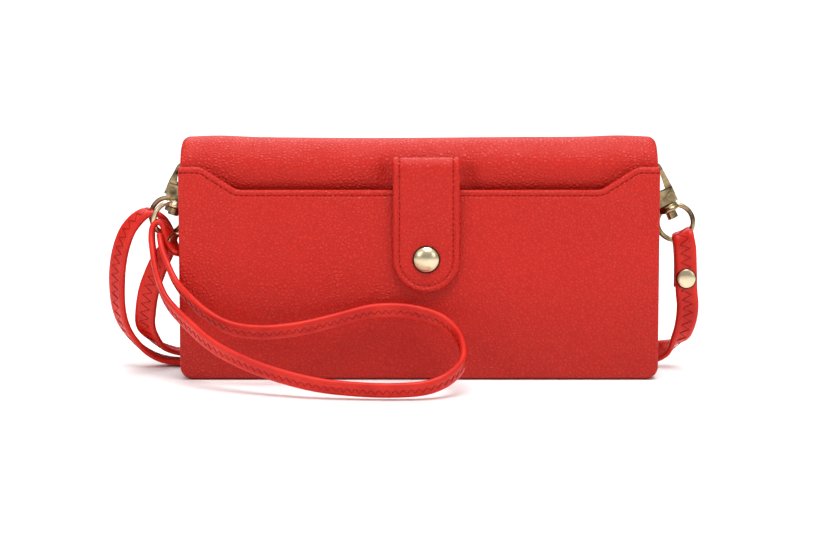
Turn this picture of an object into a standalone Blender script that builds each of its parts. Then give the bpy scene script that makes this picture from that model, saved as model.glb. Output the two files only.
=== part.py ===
"""Leather wristlet wallet with a phone pocket, a snap tab, a wrist strap and a crossbody strap.

The wallet stands on its base. X runs along its length, with +X to the right of someone who faces
the pocket; the pocket faces -Y; +Z is up. The origin is on the base, in the middle of the
length and of the thickness. All sizes are in metres.
"""
import math

import bmesh
import bpy
from mathutils import Matrix, Vector

# Overall sizes
LENGTH = 0.201
HEIGHT = 0.101
THICKNESS = 0.030

# Leather, lining and the gap that separates touching pieces
GAP = 0.0003
WALL = 0.0020
FLAP_WALL = 0.0017
LINING = 0.0008

# Phone pocket and its outer panel, whose top edge steps down towards the middle
PHONE_DEPTH = 0.0080
PANEL_END_DROP = 0.0110
PANEL_MID_DROP = 0.0205
STEP_OUTER_INSET = 0.0095
STEP_WIDTH = 0.0150
PANEL_CORNER = 0.0060
LIP_TOP_GAP = 0.0010

# Body shell: front wall, base, back wall and the front half of the roll along the top
SHELL_INSET = 0.0013
BASE_CORNER = 0.0030
BACK_WALL_DROP = 0.0150
ROLL_BULGE = 0.0035
ROLL_RISE = 0.0120
ROLL_SHOULDER = 0.0150
ROLL_BACK_REACH = 0.0105
ROLL_SPLIT_DEG = 112.0

# Back flap and its magnetic catch
FLAP_END_HEIGHT = 0.0280
FLAP_END_CORNER = 0.0100
MAGNET_RADIUS = 0.0050
MAGNET_THICK = 0.0008
MAGNET_HEIGHT = 0.0400

# Side gussets, recessed into the ends of the shell
GUSSET_INSET = 0.0140
GUSSET_TOP_DROP = 0.0170

# Card slots and zipped coin pocket
POCKET_SIDE_GAP = 0.0010
CARD_BACKING_DROP = 0.0230
CARD_UPPER_DROP = 0.0300
CARD_LOWER_DROP = 0.0410
COIN_DEPTH = 0.0042
COIN_DROP = 0.0270
ZIP_CHAIN_WIDTH = 0.0010
ZIP_CHAIN_HEIGHT = 0.0020
ZIP_PITCH = 0.0032
ZIP_END_MARGIN = 0.0040
SLIDER_LENGTH = 0.0080
SLIDER_PLATE = 0.0012
LUG_WIDTH = 0.0016
LUG_HEIGHT = 0.0030
PULL_LENGTH = 0.0120
PULL_PIN_RADIUS = 0.0005

# Closure tab with its snap
TAB_OFFSET = 0.0030
TAB_WIDTH = 0.0280
TAB_WALL = 0.0018
TAB_STANDOFF = 0.0018
TAB_BEND_RADIUS = 0.0034
TAB_DROP = 0.0069
TAB_ROOT_CLEARANCE = 0.0040
TAB_ROOT_LENGTH = 0.0400
SNAP_DROP = 0.0492
SNAP_CAP_RADIUS = 0.00555
SNAP_CAP_RISE = 0.0023
SNAP_POST_RADIUS = 0.0015
STUD_RADIUS = 0.0020
SOCKET_RADIUS = 0.0045

# Rings at the two ends, each held in a leather loop on its gusset
RING_WIRE = 0.0012
RING_REACH = 0.0020
RING_DROP = 0.0149
RING_LIFT = 0.0034
RING_DEPTH = 0.0085
RING_SIDE_GAP = 0.0014
RING_CORNER = 0.0015
LOOP_WALL = 0.0015
LOOP_WIDTH = 0.0070
LOOP_TAIL = 0.0160

# Swivel clasps
CLASP_WIRE = 0.0010
HOOK_RADIUS = 0.0036
BLOCK_TOP = 0.0095
BLOCK_HEIGHT = 0.0061
BLOCK_WIDTH = 0.0100
BLOCK_THICK = 0.0044
GATE_THICK = 0.0016
GATE_PIN_RADIUS = 0.0009
COLLAR_RADIUS = 0.0044
SMALL_COLLAR_RADIUS = 0.0030
PIN_HEAD_THICK = 0.0005
COLLAR_HEIGHT = 0.0031
POST_RADIUS = 0.0015
PEG_RADIUS = 0.0023
PEG_HEIGHT = 0.0028
EYE_RADIUS = 0.0075
CLASP_REACH = 0.0242
SMALL_SHORTENING = 0.0035
CROSSBODY_DEPTH = 0.0065
WRIST_DEPTH = 0.0002
LEAN_RIGHT_DEG = 25.0
LEAN_LEFT_DEG = 23.4
LEAN_WRIST_DEG = 17.0
EYE_TURN_DEG = 20.0

# Straps
STRAP_WIDTH = 0.0094
STRAP_THICK = 0.0025
STRAP_TUBE = 0.0015
STRAP_END_LENGTH = 0.0200
STRAP_START_GAP = 0.00035
RIVET_DROP = 0.0150
RIVET_RADIUS = 0.00415
RIVET_POST = 0.0012
RIVET_CAP = 0.0016
WRIST_TUBE = 0.0014
HANK_LENGTH = 0.1780
HANK_DEPTH = 0.0440
HANK_HEIGHT = 0.0100
HANK_CENTRE_Y = 0.0460
BUCKLE_CENTRE = (-0.0900, 0.0212, 0.0)
BUCKLE_LENGTH = 0.0120
BUCKLE_WIDTH = 0.0140
BUCKLE_HEIGHT = 0.0022

# Routes of the straps' centre lines, chosen by hand
WRIST_ROUTE = (
    (-0.1120, -0.0030, 0.0590),
    (-0.1118, -0.0060, 0.0545),
    (-0.1108, -0.0100, 0.0480),
    (-0.1082, -0.0145, 0.0395),
    (-0.1040, -0.0190, 0.0325),
    (-0.0950, -0.0280, 0.0250),
    (-0.0860, -0.0365, 0.0190),
    (-0.0760, -0.0430, 0.0145),
    (-0.0620, -0.0500, 0.0100),
    (-0.0440, -0.0560, 0.0062),
    (-0.0280, -0.0585, 0.0046),
    (-0.0120, -0.0600, 0.0038),
    (0.0020, -0.0590, 0.0040),
    (0.0110, -0.0550, 0.0068),
    (0.0170, -0.0480, 0.0115),
    (0.0182, -0.0410, 0.0163),
    (0.0160, -0.0330, 0.0220),
    (0.0100, -0.0265, 0.0268),
    (0.0020, -0.0230, 0.0294),
    (-0.0080, -0.0215, 0.0308),
    (-0.0200, -0.0216, 0.0304),
    (-0.0350, -0.0240, 0.0270),
    (-0.0500, -0.0270, 0.0240),
    (-0.0650, -0.0285, 0.0228),
    (-0.0780, -0.0270, 0.0242),
    (-0.0880, -0.0240, 0.0290),
    (-0.0960, -0.0210, 0.0360),
    (-0.1015, -0.0190, 0.0425),
    (-0.1050, -0.0135, 0.0500),
    (-0.1068, -0.0075, 0.0552),
)
RIGHT_ROUTE = (
    (0.1138, 0.0065, 0.0350),
    (0.1145, 0.0071, 0.0285),
    (0.1140, 0.0088, 0.0210),
    (0.1120, 0.0118, 0.0140),
    (0.1080, 0.0150, 0.0085),
    (0.1020, 0.0185, 0.0058),
    (0.0965, 0.0220, 0.0052),
    (0.0910, 0.0252, 0.0050),
)
LEFT_ROUTE = (
    (-0.0965, 0.0205, 0.0018),
    (-0.1020, 0.0202, 0.0018),
    (-0.1090, 0.0195, 0.0027),
    (-0.1145, 0.0180, 0.0050),
    (-0.1197, 0.0160, 0.0092),
    (-0.1256, 0.0138, 0.0172),
    (-0.1284, 0.0118, 0.0265),
    (-0.1288, 0.0100, 0.0390),
    (-0.1274, 0.0085, 0.0500),
    (-0.1242, 0.0075, 0.0595),
)
RETURN_ROUTE = (
    (-0.1055, 0.0068, 0.0555),
    (-0.1080, 0.0072, 0.0510),
    (-0.1112, 0.0078, 0.0450),
    (-0.1150, 0.0091, 0.0350),
    (-0.1168, 0.0110, 0.0255),
    (-0.1170, 0.0132, 0.0182),
    (-0.1138, 0.0160, 0.0124),
    (-0.1108, 0.0185, 0.0090),
    (-0.1060, 0.0210, 0.0066),
    (-0.1010, 0.0223, 0.0055),
    (-0.0965, 0.0226, 0.0052),
)
HANK_LINK_ROUTE = (
    (-0.0835, 0.0215, 0.0020),
    (-0.0800, 0.0222, 0.0028),
    (-0.0762, 0.0232, 0.0038),
)

# Colours: base colour, roughness, metallic
RED_LEATHER = ((0.42, 0.020, 0.030, 1.0), 0.50, 0.0)
DARK_LINING = ((0.10, 0.030, 0.030, 1.0), 0.80, 0.0)
BRASS = ((0.55, 0.36, 0.15, 1.0), 0.30, 1.0)
DARK_METAL = ((0.12, 0.10, 0.09, 1.0), 0.35, 1.0)

# Planes that follow from the driving sizes
HALF_LENGTH = LENGTH / 2
PANEL_END_HEIGHT = HEIGHT - PANEL_END_DROP
PANEL_MID_HEIGHT = HEIGHT - PANEL_MID_DROP
CARD_BACKING_TOP = HEIGHT - CARD_BACKING_DROP
CARD_UPPER_TOP = HEIGHT - CARD_UPPER_DROP
CARD_LOWER_TOP = HEIGHT - CARD_LOWER_DROP
COIN_TOP = HEIGHT - COIN_DROP
TAB_TOP = HEIGHT - TAB_DROP
SNAP_HEIGHT = HEIGHT - SNAP_DROP
RING_HEIGHT = HEIGHT - RING_DROP
FRONT = -THICKNESS / 2
BACK = THICKNESS / 2
SHELL_HALF = HALF_LENGTH - SHELL_INSET
FRONT_WALL_Y = FRONT + WALL + PHONE_DEPTH + WALL / 2
BACK_WALL_Y = BACK - FLAP_WALL - GAP - WALL / 2
INNER_FRONT = FRONT_WALL_Y + WALL / 2
INNER_BACK = BACK_WALL_Y - WALL / 2
ROLL_Z = HEIGHT - WALL / 2 - ROLL_RISE
ROLL_FRONT_Y = FRONT_WALL_Y - ROLL_BULGE
FLAP_Y = BACK - FLAP_WALL / 2
ROLL_Y = FLAP_Y - ROLL_BACK_REACH
GUSSET_OUTER = HALF_LENGTH - GUSSET_INSET
POCKET_HALF = GUSSET_OUTER - WALL - POCKET_SIDE_GAP
POCKET_FLOOR = WALL + BASE_CORNER + GAP
RING_X = HALF_LENGTH - RING_REACH
BAR_X = RING_X - math.sqrt(RING_DEPTH ** 2 - RING_LIFT ** 2)


def clear_scene():
    for old in list(bpy.data.objects):
        bpy.data.objects.remove(old, do_unlink=True)


def material(look):
    """Return the Principled material of a look, made once."""
    colour, roughness, metallic = look
    name = "look_%03d_%03d" % (round(colour[0] * 100), round(roughness * 100))
    found = bpy.data.materials.get(name)
    if found:
        return found
    made = bpy.data.materials.new(name)
    made.use_nodes = True
    shader = made.node_tree.nodes["Principled BSDF"]
    shader.inputs["Base Color"].default_value = colour
    shader.inputs["Roughness"].default_value = roughness
    shader.inputs["Metallic"].default_value = metallic
    return made


def add_object(name, solid, look, smooth=False):
    """Turn a bmesh into a named object with its faces pointing out."""
    bmesh.ops.recalc_face_normals(solid, faces=solid.faces)
    mesh = bpy.data.meshes.new(name)
    solid.to_mesh(mesh)
    solid.free()
    piece = bpy.data.objects.new(name, mesh)
    bpy.context.scene.collection.objects.link(piece)
    mesh.materials.append(material(look))
    if smooth:
        mesh.shade_smooth()
        mesh.set_sharp_from_angle(angle=math.radians(40))
    return piece


def boolean(piece, operation, solid, name):
    """Join, cut or intersect a piece with a hidden helper solid."""
    helper = add_object(name, solid, DARK_METAL)
    helper.hide_render = True
    helper.display_type = "WIRE"
    step = piece.modifiers.new(name, "BOOLEAN")
    step.operation = operation
    step.object = helper
    step.solver = "EXACT"
    return piece


def box(low, high):
    """A block between two corners."""
    solid = bmesh.new()
    bmesh.ops.create_cube(solid, size=1.0)
    centre = (Vector(low) + Vector(high)) / 2
    size = Vector(high) - Vector(low)
    bmesh.ops.scale(solid, vec=size, verts=solid.verts)
    bmesh.ops.translate(solid, vec=centre, verts=solid.verts)
    return solid


def prism(outline, low, high, axis):
    """Extrude an outline along an axis; the outline holds the two other coordinates in order."""
    place = {
        "X": lambda a, b, c: (c, a, b),
        "Y": lambda a, b, c: (a, c, b),
        "Z": lambda a, b, c: (a, b, c),
    }[axis]
    solid = bmesh.new()
    first = [solid.verts.new(place(a, b, low)) for a, b in outline]
    last = [solid.verts.new(place(a, b, high)) for a, b in outline]
    count = len(outline)
    for i in range(count):
        j = (i + 1) % count
        solid.faces.new((first[i], first[j], last[j], last[i]))
    solid.faces.new(first)
    solid.faces.new(last[::-1])
    return solid


def turned(profile, sides, place=Matrix.Identity(4)):
    """Spin a profile of (radius, height) points about +Z, then put it in place."""
    solid = bmesh.new()
    rings = []
    for radius, height in profile:
        ring = []
        for k in range(sides):
            angle = 2 * math.pi * k / sides
            ring.append(solid.verts.new((radius * math.cos(angle), radius * math.sin(angle), height)))
        rings.append(ring)
    for lower, upper in zip(rings, rings[1:]):
        for k in range(sides):
            m = (k + 1) % sides
            solid.faces.new((lower[k], lower[m], upper[m], upper[k]))
    solid.faces.new(rings[0][::-1])
    solid.faces.new(rings[-1])
    bmesh.ops.transform(solid, matrix=place, verts=solid.verts)
    return solid


def swept(points, radius, sides, closed=False):
    """A round wire along a list of points."""
    solid = bmesh.new()
    path = [Vector(p) for p in points]
    count = len(path)
    rings = []
    across = None
    for i, here in enumerate(path):
        before = path[i - 1] if i or closed else here
        after = path[(i + 1) % count] if i < count - 1 or closed else here
        along = (after - before).normalized()
        if across is None:
            across = along.orthogonal()
        across = (across - along * across.dot(along)).normalized()
        other = along.cross(across)
        ring = []
        for k in range(sides):
            angle = 2 * math.pi * k / sides
            offset = across * math.cos(angle) + other * math.sin(angle)
            ring.append(solid.verts.new(here + offset * radius))
        rings.append(ring)
    pairs = list(zip(rings, rings[1:]))
    if closed:
        pairs.append((rings[-1], rings[0]))
    for lower, upper in pairs:
        for k in range(sides):
            m = (k + 1) % sides
            solid.faces.new((lower[k], lower[m], upper[m], upper[k]))
    if not closed:
        solid.faces.new(rings[0][::-1])
        solid.faces.new(rings[-1])
    return solid


def arc(centre, radius, start_deg, end_deg, steps, radius_b=None):
    """Points on a round or oval arc, ends included."""
    radius_b = radius if radius_b is None else radius_b
    points = []
    for k in range(steps + 1):
        angle = math.radians(start_deg + (end_deg - start_deg) * k / steps)
        points.append((centre[0] + radius * math.cos(angle), centre[1] + radius_b * math.sin(angle)))
    return points


def strip(path, thickness):
    """Outline of a bent sheet whose middle follows a path."""
    left = []
    right = []
    for i, here in enumerate(path):
        before = Vector(path[max(i - 1, 0)])
        after = Vector(path[min(i + 1, len(path) - 1)])
        along = (after - before).normalized()
        side = Vector((-along.y, along.x)) * (thickness / 2)
        left.append(tuple(Vector(here) + side))
        right.append(tuple(Vector(here) - side))
    return left + right[::-1]


def facing(direction, origin):
    """Matrix that turns +Z to a direction and moves the origin."""
    turn = Vector(direction).to_track_quat("Z", "Y").to_matrix().to_4x4()
    return Matrix.Translation(Vector(origin)) @ turn


def smooth_route(points, samples):
    """Evenly spread points on a smooth curve through the given points."""
    ends = [Vector(points[0]) * 2 - Vector(points[1]), Vector(points[-1]) * 2 - Vector(points[-2])]
    chain = [ends[0]] + [Vector(p) for p in points] + [ends[1]]
    curve = []
    for i in range(1, len(chain) - 2):
        a, b, c, d = chain[i - 1], chain[i], chain[i + 1], chain[i + 2]
        for k in range(16):
            t = k / 16
            curve.append(0.5 * (2 * b + (c - a) * t + (2 * a - 5 * b + 4 * c - d) * t ** 2
                                + (3 * b - a - 3 * c + d) * t ** 3))
    curve.append(chain[-2])
    travelled = [0.0]
    for p, q in zip(curve, curve[1:]):
        travelled.append(travelled[-1] + (q - p).length)
    spread = []
    i = 0
    for k in range(samples):
        target = travelled[-1] * k / (samples - 1)
        while i < len(curve) - 2 and travelled[i + 1] < target:
            i += 1
        share = (target - travelled[i]) / (travelled[i + 1] - travelled[i])
        spread.append(curve[i].lerp(curve[i + 1], min(share, 1.0)))
    return spread


def strap_tube(name, route, radius, samples):
    """A strap's stretch as a round tube along its route."""
    points = smooth_route(route, samples)
    curve = bpy.data.curves.new(name, "CURVE")
    curve.dimensions = "3D"
    spline = curve.splines.new("POLY")
    spline.points.add(len(points) - 1)
    for place, point in zip(spline.points, points):
        place.co = (point.x, point.y, point.z, 1.0)
    curve.bevel_depth = radius
    curve.bevel_resolution = 2
    curve.use_fill_caps = True
    curve.materials.append(material(RED_LEATHER))
    tube = bpy.data.objects.new(name, curve)
    bpy.context.scene.collection.objects.link(tube)
    return tube


def make_front_panel():
    """Outer wall of the phone pocket, with lips that turn back along the sides and the base."""
    step_out = HALF_LENGTH - STEP_OUTER_INSET
    step_in = step_out - STEP_WIDTH
    outline = arc((-HALF_LENGTH + PANEL_CORNER, PANEL_CORNER), PANEL_CORNER, 180, 270, 5)
    outline += arc((HALF_LENGTH - PANEL_CORNER, PANEL_CORNER), PANEL_CORNER, 270, 360, 5)
    outline += [(HALF_LENGTH, PANEL_END_HEIGHT), (step_out, PANEL_END_HEIGHT)]
    outline += [(step_in, PANEL_MID_HEIGHT), (-step_in, PANEL_MID_HEIGHT)]
    outline += [(-step_out, PANEL_END_HEIGHT), (-HALF_LENGTH, PANEL_END_HEIGHT)]
    lip_end = INNER_FRONT - WALL - GAP
    panel = add_object("front_panel", prism(outline, FRONT, lip_end, "Y"), RED_LEATHER)
    inner = HALF_LENGTH - WALL
    radius = PANEL_CORNER - WALL
    space = arc((-inner + radius, WALL + radius), radius, 180, 270, 5)
    space += arc((inner - radius, WALL + radius), radius, 270, 360, 5)
    space += [(inner, HEIGHT), (-inner, HEIGHT)]
    boolean(panel, "DIFFERENCE", prism(space, FRONT + WALL, BACK, "Y"), "phone_space")
    lip_top = ROLL_Z - ROLL_SHOULDER - LIP_TOP_GAP
    above = box((-LENGTH, FRONT + WALL, lip_top), (LENGTH, BACK, HEIGHT))
    boolean(panel, "DIFFERENCE", above, "space_above_lips")


def shell_path():
    """Middle line of the shell's wall, from the split in the roll down the front and up the back."""
    front_reach = ROLL_Y - ROLL_FRONT_Y
    path = arc((ROLL_Y, ROLL_Z), front_reach, ROLL_SPLIT_DEG, 180, 8, ROLL_RISE)
    steps = 6
    for k in range(1, steps + 1):
        share = k / steps
        ease = (1 - math.cos(math.pi * share)) / 2
        path.append((ROLL_FRONT_Y + ROLL_BULGE * ease, ROLL_Z - ROLL_SHOULDER * share))
    low = BASE_CORNER + WALL / 2
    path += arc((FRONT_WALL_Y + BASE_CORNER, low), BASE_CORNER, 180, 270, 4)
    path += arc((BACK_WALL_Y - BASE_CORNER, low), BASE_CORNER, 270, 360, 4)
    path.append((BACK_WALL_Y, HEIGHT - BACK_WALL_DROP))
    return path


def make_body_shell():
    """Front wall, base and back wall in one turned piece of leather."""
    outline = strip(shell_path(), WALL)
    shell = add_object("body_shell", prism(outline, -SHELL_HALF, SHELL_HALF, "X"), RED_LEATHER)
    recess = [(MAGNET_RADIUS + GAP, 0.0), (MAGNET_RADIUS + GAP, WALL)]
    outer = BACK_WALL_Y + WALL / 2
    place = facing((0, 1, 0), (0, outer - MAGNET_THICK - GAP, MAGNET_HEIGHT))
    boolean(shell, "DIFFERENCE", turned(recess, 24, place), "body_magnet_recess")
    disc = [(MAGNET_RADIUS, 0.0), (MAGNET_RADIUS, MAGNET_THICK)]
    place = facing((0, 1, 0), (0, outer - MAGNET_THICK, MAGNET_HEIGHT))
    add_object("body_magnet", turned(disc, 24, place), DARK_METAL)


def make_back_flap():
    """Rear half of the roll and the panel that hangs down the back, with its magnet."""
    ahead = ROLL_Y - ROLL_FRONT_Y
    split = math.radians(ROLL_SPLIT_DEG)
    start_y = ROLL_Y + ahead * math.cos(split) + GAP
    start_z = ROLL_Z + ROLL_RISE * math.sin(split)
    path = [(start_y, start_z)]
    for angle in range(100, 0, -20):
        reach = ahead if angle > 90 else ROLL_BACK_REACH
        turn = math.radians(angle)
        path.append((ROLL_Y + reach * math.cos(turn), ROLL_Z + ROLL_RISE * math.sin(turn)))
    path.append((FLAP_Y, ROLL_Z))
    path.append((FLAP_Y, FLAP_END_HEIGHT))
    flap = add_object("back_flap", prism(strip(path, FLAP_WALL), -SHELL_HALF, SHELL_HALF, "X"),
                      RED_LEATHER)
    half = SHELL_HALF + GAP
    corner = FLAP_END_CORNER
    outline = arc((-half + corner, FLAP_END_HEIGHT + corner), corner, 180, 270, 6)
    outline += arc((half - corner, FLAP_END_HEIGHT + corner), corner, 270, 360, 6)
    outline += [(half, HEIGHT + WALL), (-half, HEIGHT + WALL)]
    boolean(flap, "INTERSECT", prism(outline, FRONT, BACK + WALL, "Y"), "flap_outline")
    inner = BACK - FLAP_WALL
    recess = [(MAGNET_RADIUS + GAP, 0.0), (MAGNET_RADIUS + GAP, WALL)]
    place = facing((0, -1, 0), (0, inner + MAGNET_THICK + GAP, MAGNET_HEIGHT))
    boolean(flap, "DIFFERENCE", turned(recess, 24, place), "flap_magnet_recess")
    disc = [(MAGNET_RADIUS, 0.0), (MAGNET_RADIUS, MAGNET_THICK)]
    place = facing((0, -1, 0), (0, inner + MAGNET_THICK, MAGNET_HEIGHT))
    add_object("flap_magnet", turned(disc, 24, place), DARK_METAL)


def make_gusset(name, side):
    """Leather end wall of the main compartment."""
    low_y = INNER_FRONT + GAP
    high_y = INNER_BACK - GAP
    low_z = WALL + GAP
    corner = BASE_CORNER
    outline = arc((low_y + corner, low_z + corner), corner, 180, 270, 4)
    outline += arc((high_y - corner, low_z + corner), corner, 270, 360, 4)
    outline += [(high_y, HEIGHT - GUSSET_TOP_DROP), (low_y, HEIGHT - GUSSET_TOP_DROP)]
    ends = sorted((side * GUSSET_OUTER, side * (GUSSET_OUTER - WALL)))
    add_object(name, prism(outline, ends[0], ends[1], "X"), RED_LEATHER)


def make_card_slots():
    """Backing and two stepped leaves against the front wall."""
    y = INNER_FRONT + GAP
    for name, top in (("card_backing", CARD_BACKING_TOP), ("card_leaf_upper", CARD_UPPER_TOP),
                      ("card_leaf_lower", CARD_LOWER_TOP)):
        leaf = box((-POCKET_HALF, y, POCKET_FLOOR), (POCKET_HALF, y + LINING, top))
        add_object(name, leaf, DARK_LINING)
        y += LINING + GAP


def make_coin_pocket():
    """Two lining leaves closed by a zip along the top, with slider and pull."""
    back = INNER_BACK - GAP
    front = back - LINING - COIN_DEPTH - LINING
    for name, y in (("coin_leaf_front", front), ("coin_leaf_back", back - LINING)):
        leaf = box((-POCKET_HALF, y, POCKET_FLOOR), (POCKET_HALF, y + LINING, COIN_TOP))
        add_object(name, leaf, DARK_LINING)
    middle = (front + back) / 2
    tape_z = COIN_TOP + GAP
    chain_half = ZIP_CHAIN_WIDTH / 2
    for name, low, high in (("zip_tape_front", front, middle - chain_half - GAP),
                            ("zip_tape_back", middle + chain_half + GAP, back)):
        tape = box((-POCKET_HALF, low, tape_z), (POCKET_HALF, high, tape_z + LINING))
        add_object(name, tape, DARK_LINING)
    make_zip_chain(middle, tape_z + LINING / 2)
    make_zip_slider(middle, tape_z + LINING)


def make_zip_chain(middle, tape_middle):
    """Closed row of zip teeth, as one toothed bar."""
    half = POCKET_HALF - ZIP_END_MARGIN
    count = int(2 * half / ZIP_PITCH)
    low = tape_middle - ZIP_CHAIN_HEIGHT / 2
    high = tape_middle + ZIP_CHAIN_HEIGHT / 2
    notch = high - ZIP_CHAIN_HEIGHT / 4
    outline = [(-half, low), (half, low)]
    start = count * ZIP_PITCH / 2
    for k in range(count):
        right = start - k * ZIP_PITCH
        outline += [(right, notch), (right - ZIP_PITCH / 4, high)]
        outline += [(right - ZIP_PITCH * 3 / 4, high), (right - ZIP_PITCH, notch)]
    cleaned = [p for i, p in enumerate(outline) if p != outline[i - 1]]
    chain = prism(cleaned, middle - ZIP_CHAIN_WIDTH / 2, middle + ZIP_CHAIN_WIDTH / 2, "Y")
    add_object("zip_chain", chain, BRASS)


def slider_x():
    """Place of the closed zip's slider."""
    return POCKET_HALF - ZIP_END_MARGIN - SLIDER_LENGTH


def make_zip_slider(middle, tape_top):
    """Slider that rides on the chain, and its pull on a pin through the slider's lug."""
    chain_top = tape_top - LINING / 2 + ZIP_CHAIN_HEIGHT / 2
    plate_low = chain_top + GAP
    plate_high = plate_low + SLIDER_PLATE
    half_in = ZIP_CHAIN_WIDTH / 2 + GAP
    half_out = half_in + SLIDER_PLATE
    x = slider_x()
    profile = [(middle - half_out, tape_top + GAP), (middle - half_in, tape_top + GAP)]
    profile += [(middle - half_in, plate_low), (middle + half_in, plate_low)]
    profile += [(middle + half_in, tape_top + GAP), (middle + half_out, tape_top + GAP)]
    profile += [(middle + half_out, plate_high), (middle - half_out, plate_high)]
    slider = add_object("zip_slider", prism(profile, x - SLIDER_LENGTH / 2, x + SLIDER_LENGTH / 2, "X"),
                        BRASS)
    lug_top = plate_high + LUG_HEIGHT
    lug = box((x - LUG_HEIGHT / 2, middle - LUG_WIDTH / 2, plate_high - SLIDER_PLATE / 2),
              (x + LUG_HEIGHT / 2, middle + LUG_WIDTH / 2, lug_top))
    boolean(slider, "UNION", lug, "slider_lug")
    pin_z = plate_high + LUG_HEIGHT / 2
    bore_radius = PULL_PIN_RADIUS + GAP
    bore = turned([(bore_radius, -LUG_WIDTH), (bore_radius, LUG_WIDTH)], 16,
                  facing((0, 1, 0), (x, middle, pin_z)))
    boolean(slider, "DIFFERENCE", bore, "slider_lug_bore")
    make_zip_pull(x, middle, pin_z)


def make_zip_pull(x, middle, pin_z):
    """Forked pull tab, lying along the zip, with its pin."""
    arm_in = LUG_WIDTH / 2 + GAP
    arm_out = arm_in + LINING
    thick = LINING
    root = x + thick
    neck = x - LUG_HEIGHT / 2 - GAP
    end = x - PULL_LENGTH
    outline = [(root, middle - arm_out), (root, middle - arm_in), (neck - GAP, middle - arm_in)]
    outline += [(neck - GAP, middle + arm_in), (root, middle + arm_in), (root, middle + arm_out)]
    outline += [(end, middle + arm_out), (end, middle - arm_out)]
    pull = add_object("zip_pull", prism(outline, pin_z - thick, pin_z + thick, "Z"), BRASS)
    reach = arm_in + LINING / 2
    pin = turned([(PULL_PIN_RADIUS, -reach), (PULL_PIN_RADIUS, reach)], 12,
                 facing((0, 1, 0), (x, middle, pin_z)))
    boolean(pull, "UNION", pin, "pull_pin")


def tab_bend():
    """Centre (y, z) of the tab's bend over the pocket's mouth."""
    return FRONT - TAB_STANDOFF - TAB_WALL / 2 + TAB_BEND_RADIUS, TAB_TOP - TAB_WALL / 2 - TAB_BEND_RADIUS


def make_closure_tab():
    """Tab that folds over the pocket and snaps to its front, and its root inside the pocket."""
    y, z = tab_bend()
    half = TAB_WIDTH / 2
    low_x = TAB_OFFSET - half
    high_x = TAB_OFFSET + half
    path = arc((y, z), TAB_BEND_RADIUS, 0, 180, 10)
    path.append((y - TAB_BEND_RADIUS, SNAP_HEIGHT - half))
    tab = add_object("closure_tab", prism(strip(path, TAB_WALL), low_x, high_x, "X"), RED_LEATHER)
    outline = arc((TAB_OFFSET, SNAP_HEIGHT), half, 180, 360, 20)
    outline += [(high_x, HEIGHT), (low_x, HEIGHT)]
    boolean(tab, "INTERSECT", prism(outline, FRONT - half, BACK, "Y"), "tab_outline")
    front_face = y - TAB_BEND_RADIUS - TAB_WALL / 2
    back_face = front_face + TAB_WALL
    hole = [(SNAP_POST_RADIUS + GAP, -TAB_WALL), (SNAP_POST_RADIUS + GAP, TAB_WALL)]
    middle = (TAB_OFFSET, (front_face + back_face) / 2, SNAP_HEIGHT)
    boolean(tab, "DIFFERENCE", turned(hole, 16, facing((0, -1, 0), middle)), "tab_post_hole")
    cap = [(SNAP_POST_RADIUS, -TAB_WALL - GAP), (SNAP_POST_RADIUS, GAP), (SNAP_CAP_RADIUS, GAP)]
    cap += [(SNAP_CAP_RADIUS, GAP + SNAP_CAP_RISE / 4)]
    cap += [(SNAP_CAP_RADIUS * 0.85, GAP + SNAP_CAP_RISE * 0.7)]
    cap += [(SNAP_CAP_RADIUS * 0.45, GAP + SNAP_CAP_RISE)]
    place = facing((0, -1, 0), (TAB_OFFSET, front_face, SNAP_HEIGHT))
    add_object("snap_cap", turned(cap, 28, place), BRASS, smooth=True)
    make_snap_halves(back_face)
    make_tab_root(y + TAB_BEND_RADIUS, z - TAB_ROOT_CLEARANCE, low_x, high_x)


def make_snap_halves(back_face):
    """Socket on the back of the tab and stud on the panel."""
    depth = FRONT - back_face - 2 * GAP
    socket = [(SOCKET_RADIUS, 0.0), (SOCKET_RADIUS, depth)]
    place = facing((0, 1, 0), (TAB_OFFSET, back_face + GAP, SNAP_HEIGHT))
    ring = add_object("snap_socket", turned(socket, 24, place), BRASS)
    inner = STUD_RADIUS + GAP
    hole = turned([(inner, -depth), (inner, 2 * depth)], 16, place)
    boolean(ring, "DIFFERENCE", hole, "socket_hole")
    stud = [(STUD_RADIUS * 0.8, 0.0), (STUD_RADIUS, depth / 2), (STUD_RADIUS * 0.8, depth - GAP)]
    place = facing((0, -1, 0), (TAB_OFFSET, FRONT - GAP, SNAP_HEIGHT))
    add_object("snap_stud", turned(stud, 16, place), BRASS)


def make_tab_root(leg_y, top, low_x, high_x):
    """Fixed end of the tab, which runs down inside the pocket to the front wall."""
    wall_face = FRONT_WALL_Y - WALL / 2
    sewn_y = wall_face - GAP - TAB_WALL / 2
    path = [(leg_y, top)]
    start = PANEL_MID_HEIGHT
    drop = ROLL_SHOULDER * 0.7
    steps = 6
    for k in range(steps + 1):
        ease = (1 - math.cos(math.pi * k / steps)) / 2
        path.append((leg_y + (sewn_y - leg_y) * ease, start - drop * k / steps))
    path.append((sewn_y, top - TAB_ROOT_LENGTH))
    add_object("tab_root", prism(strip(path, TAB_WALL), low_x, high_x, "X"), RED_LEATHER)


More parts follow.
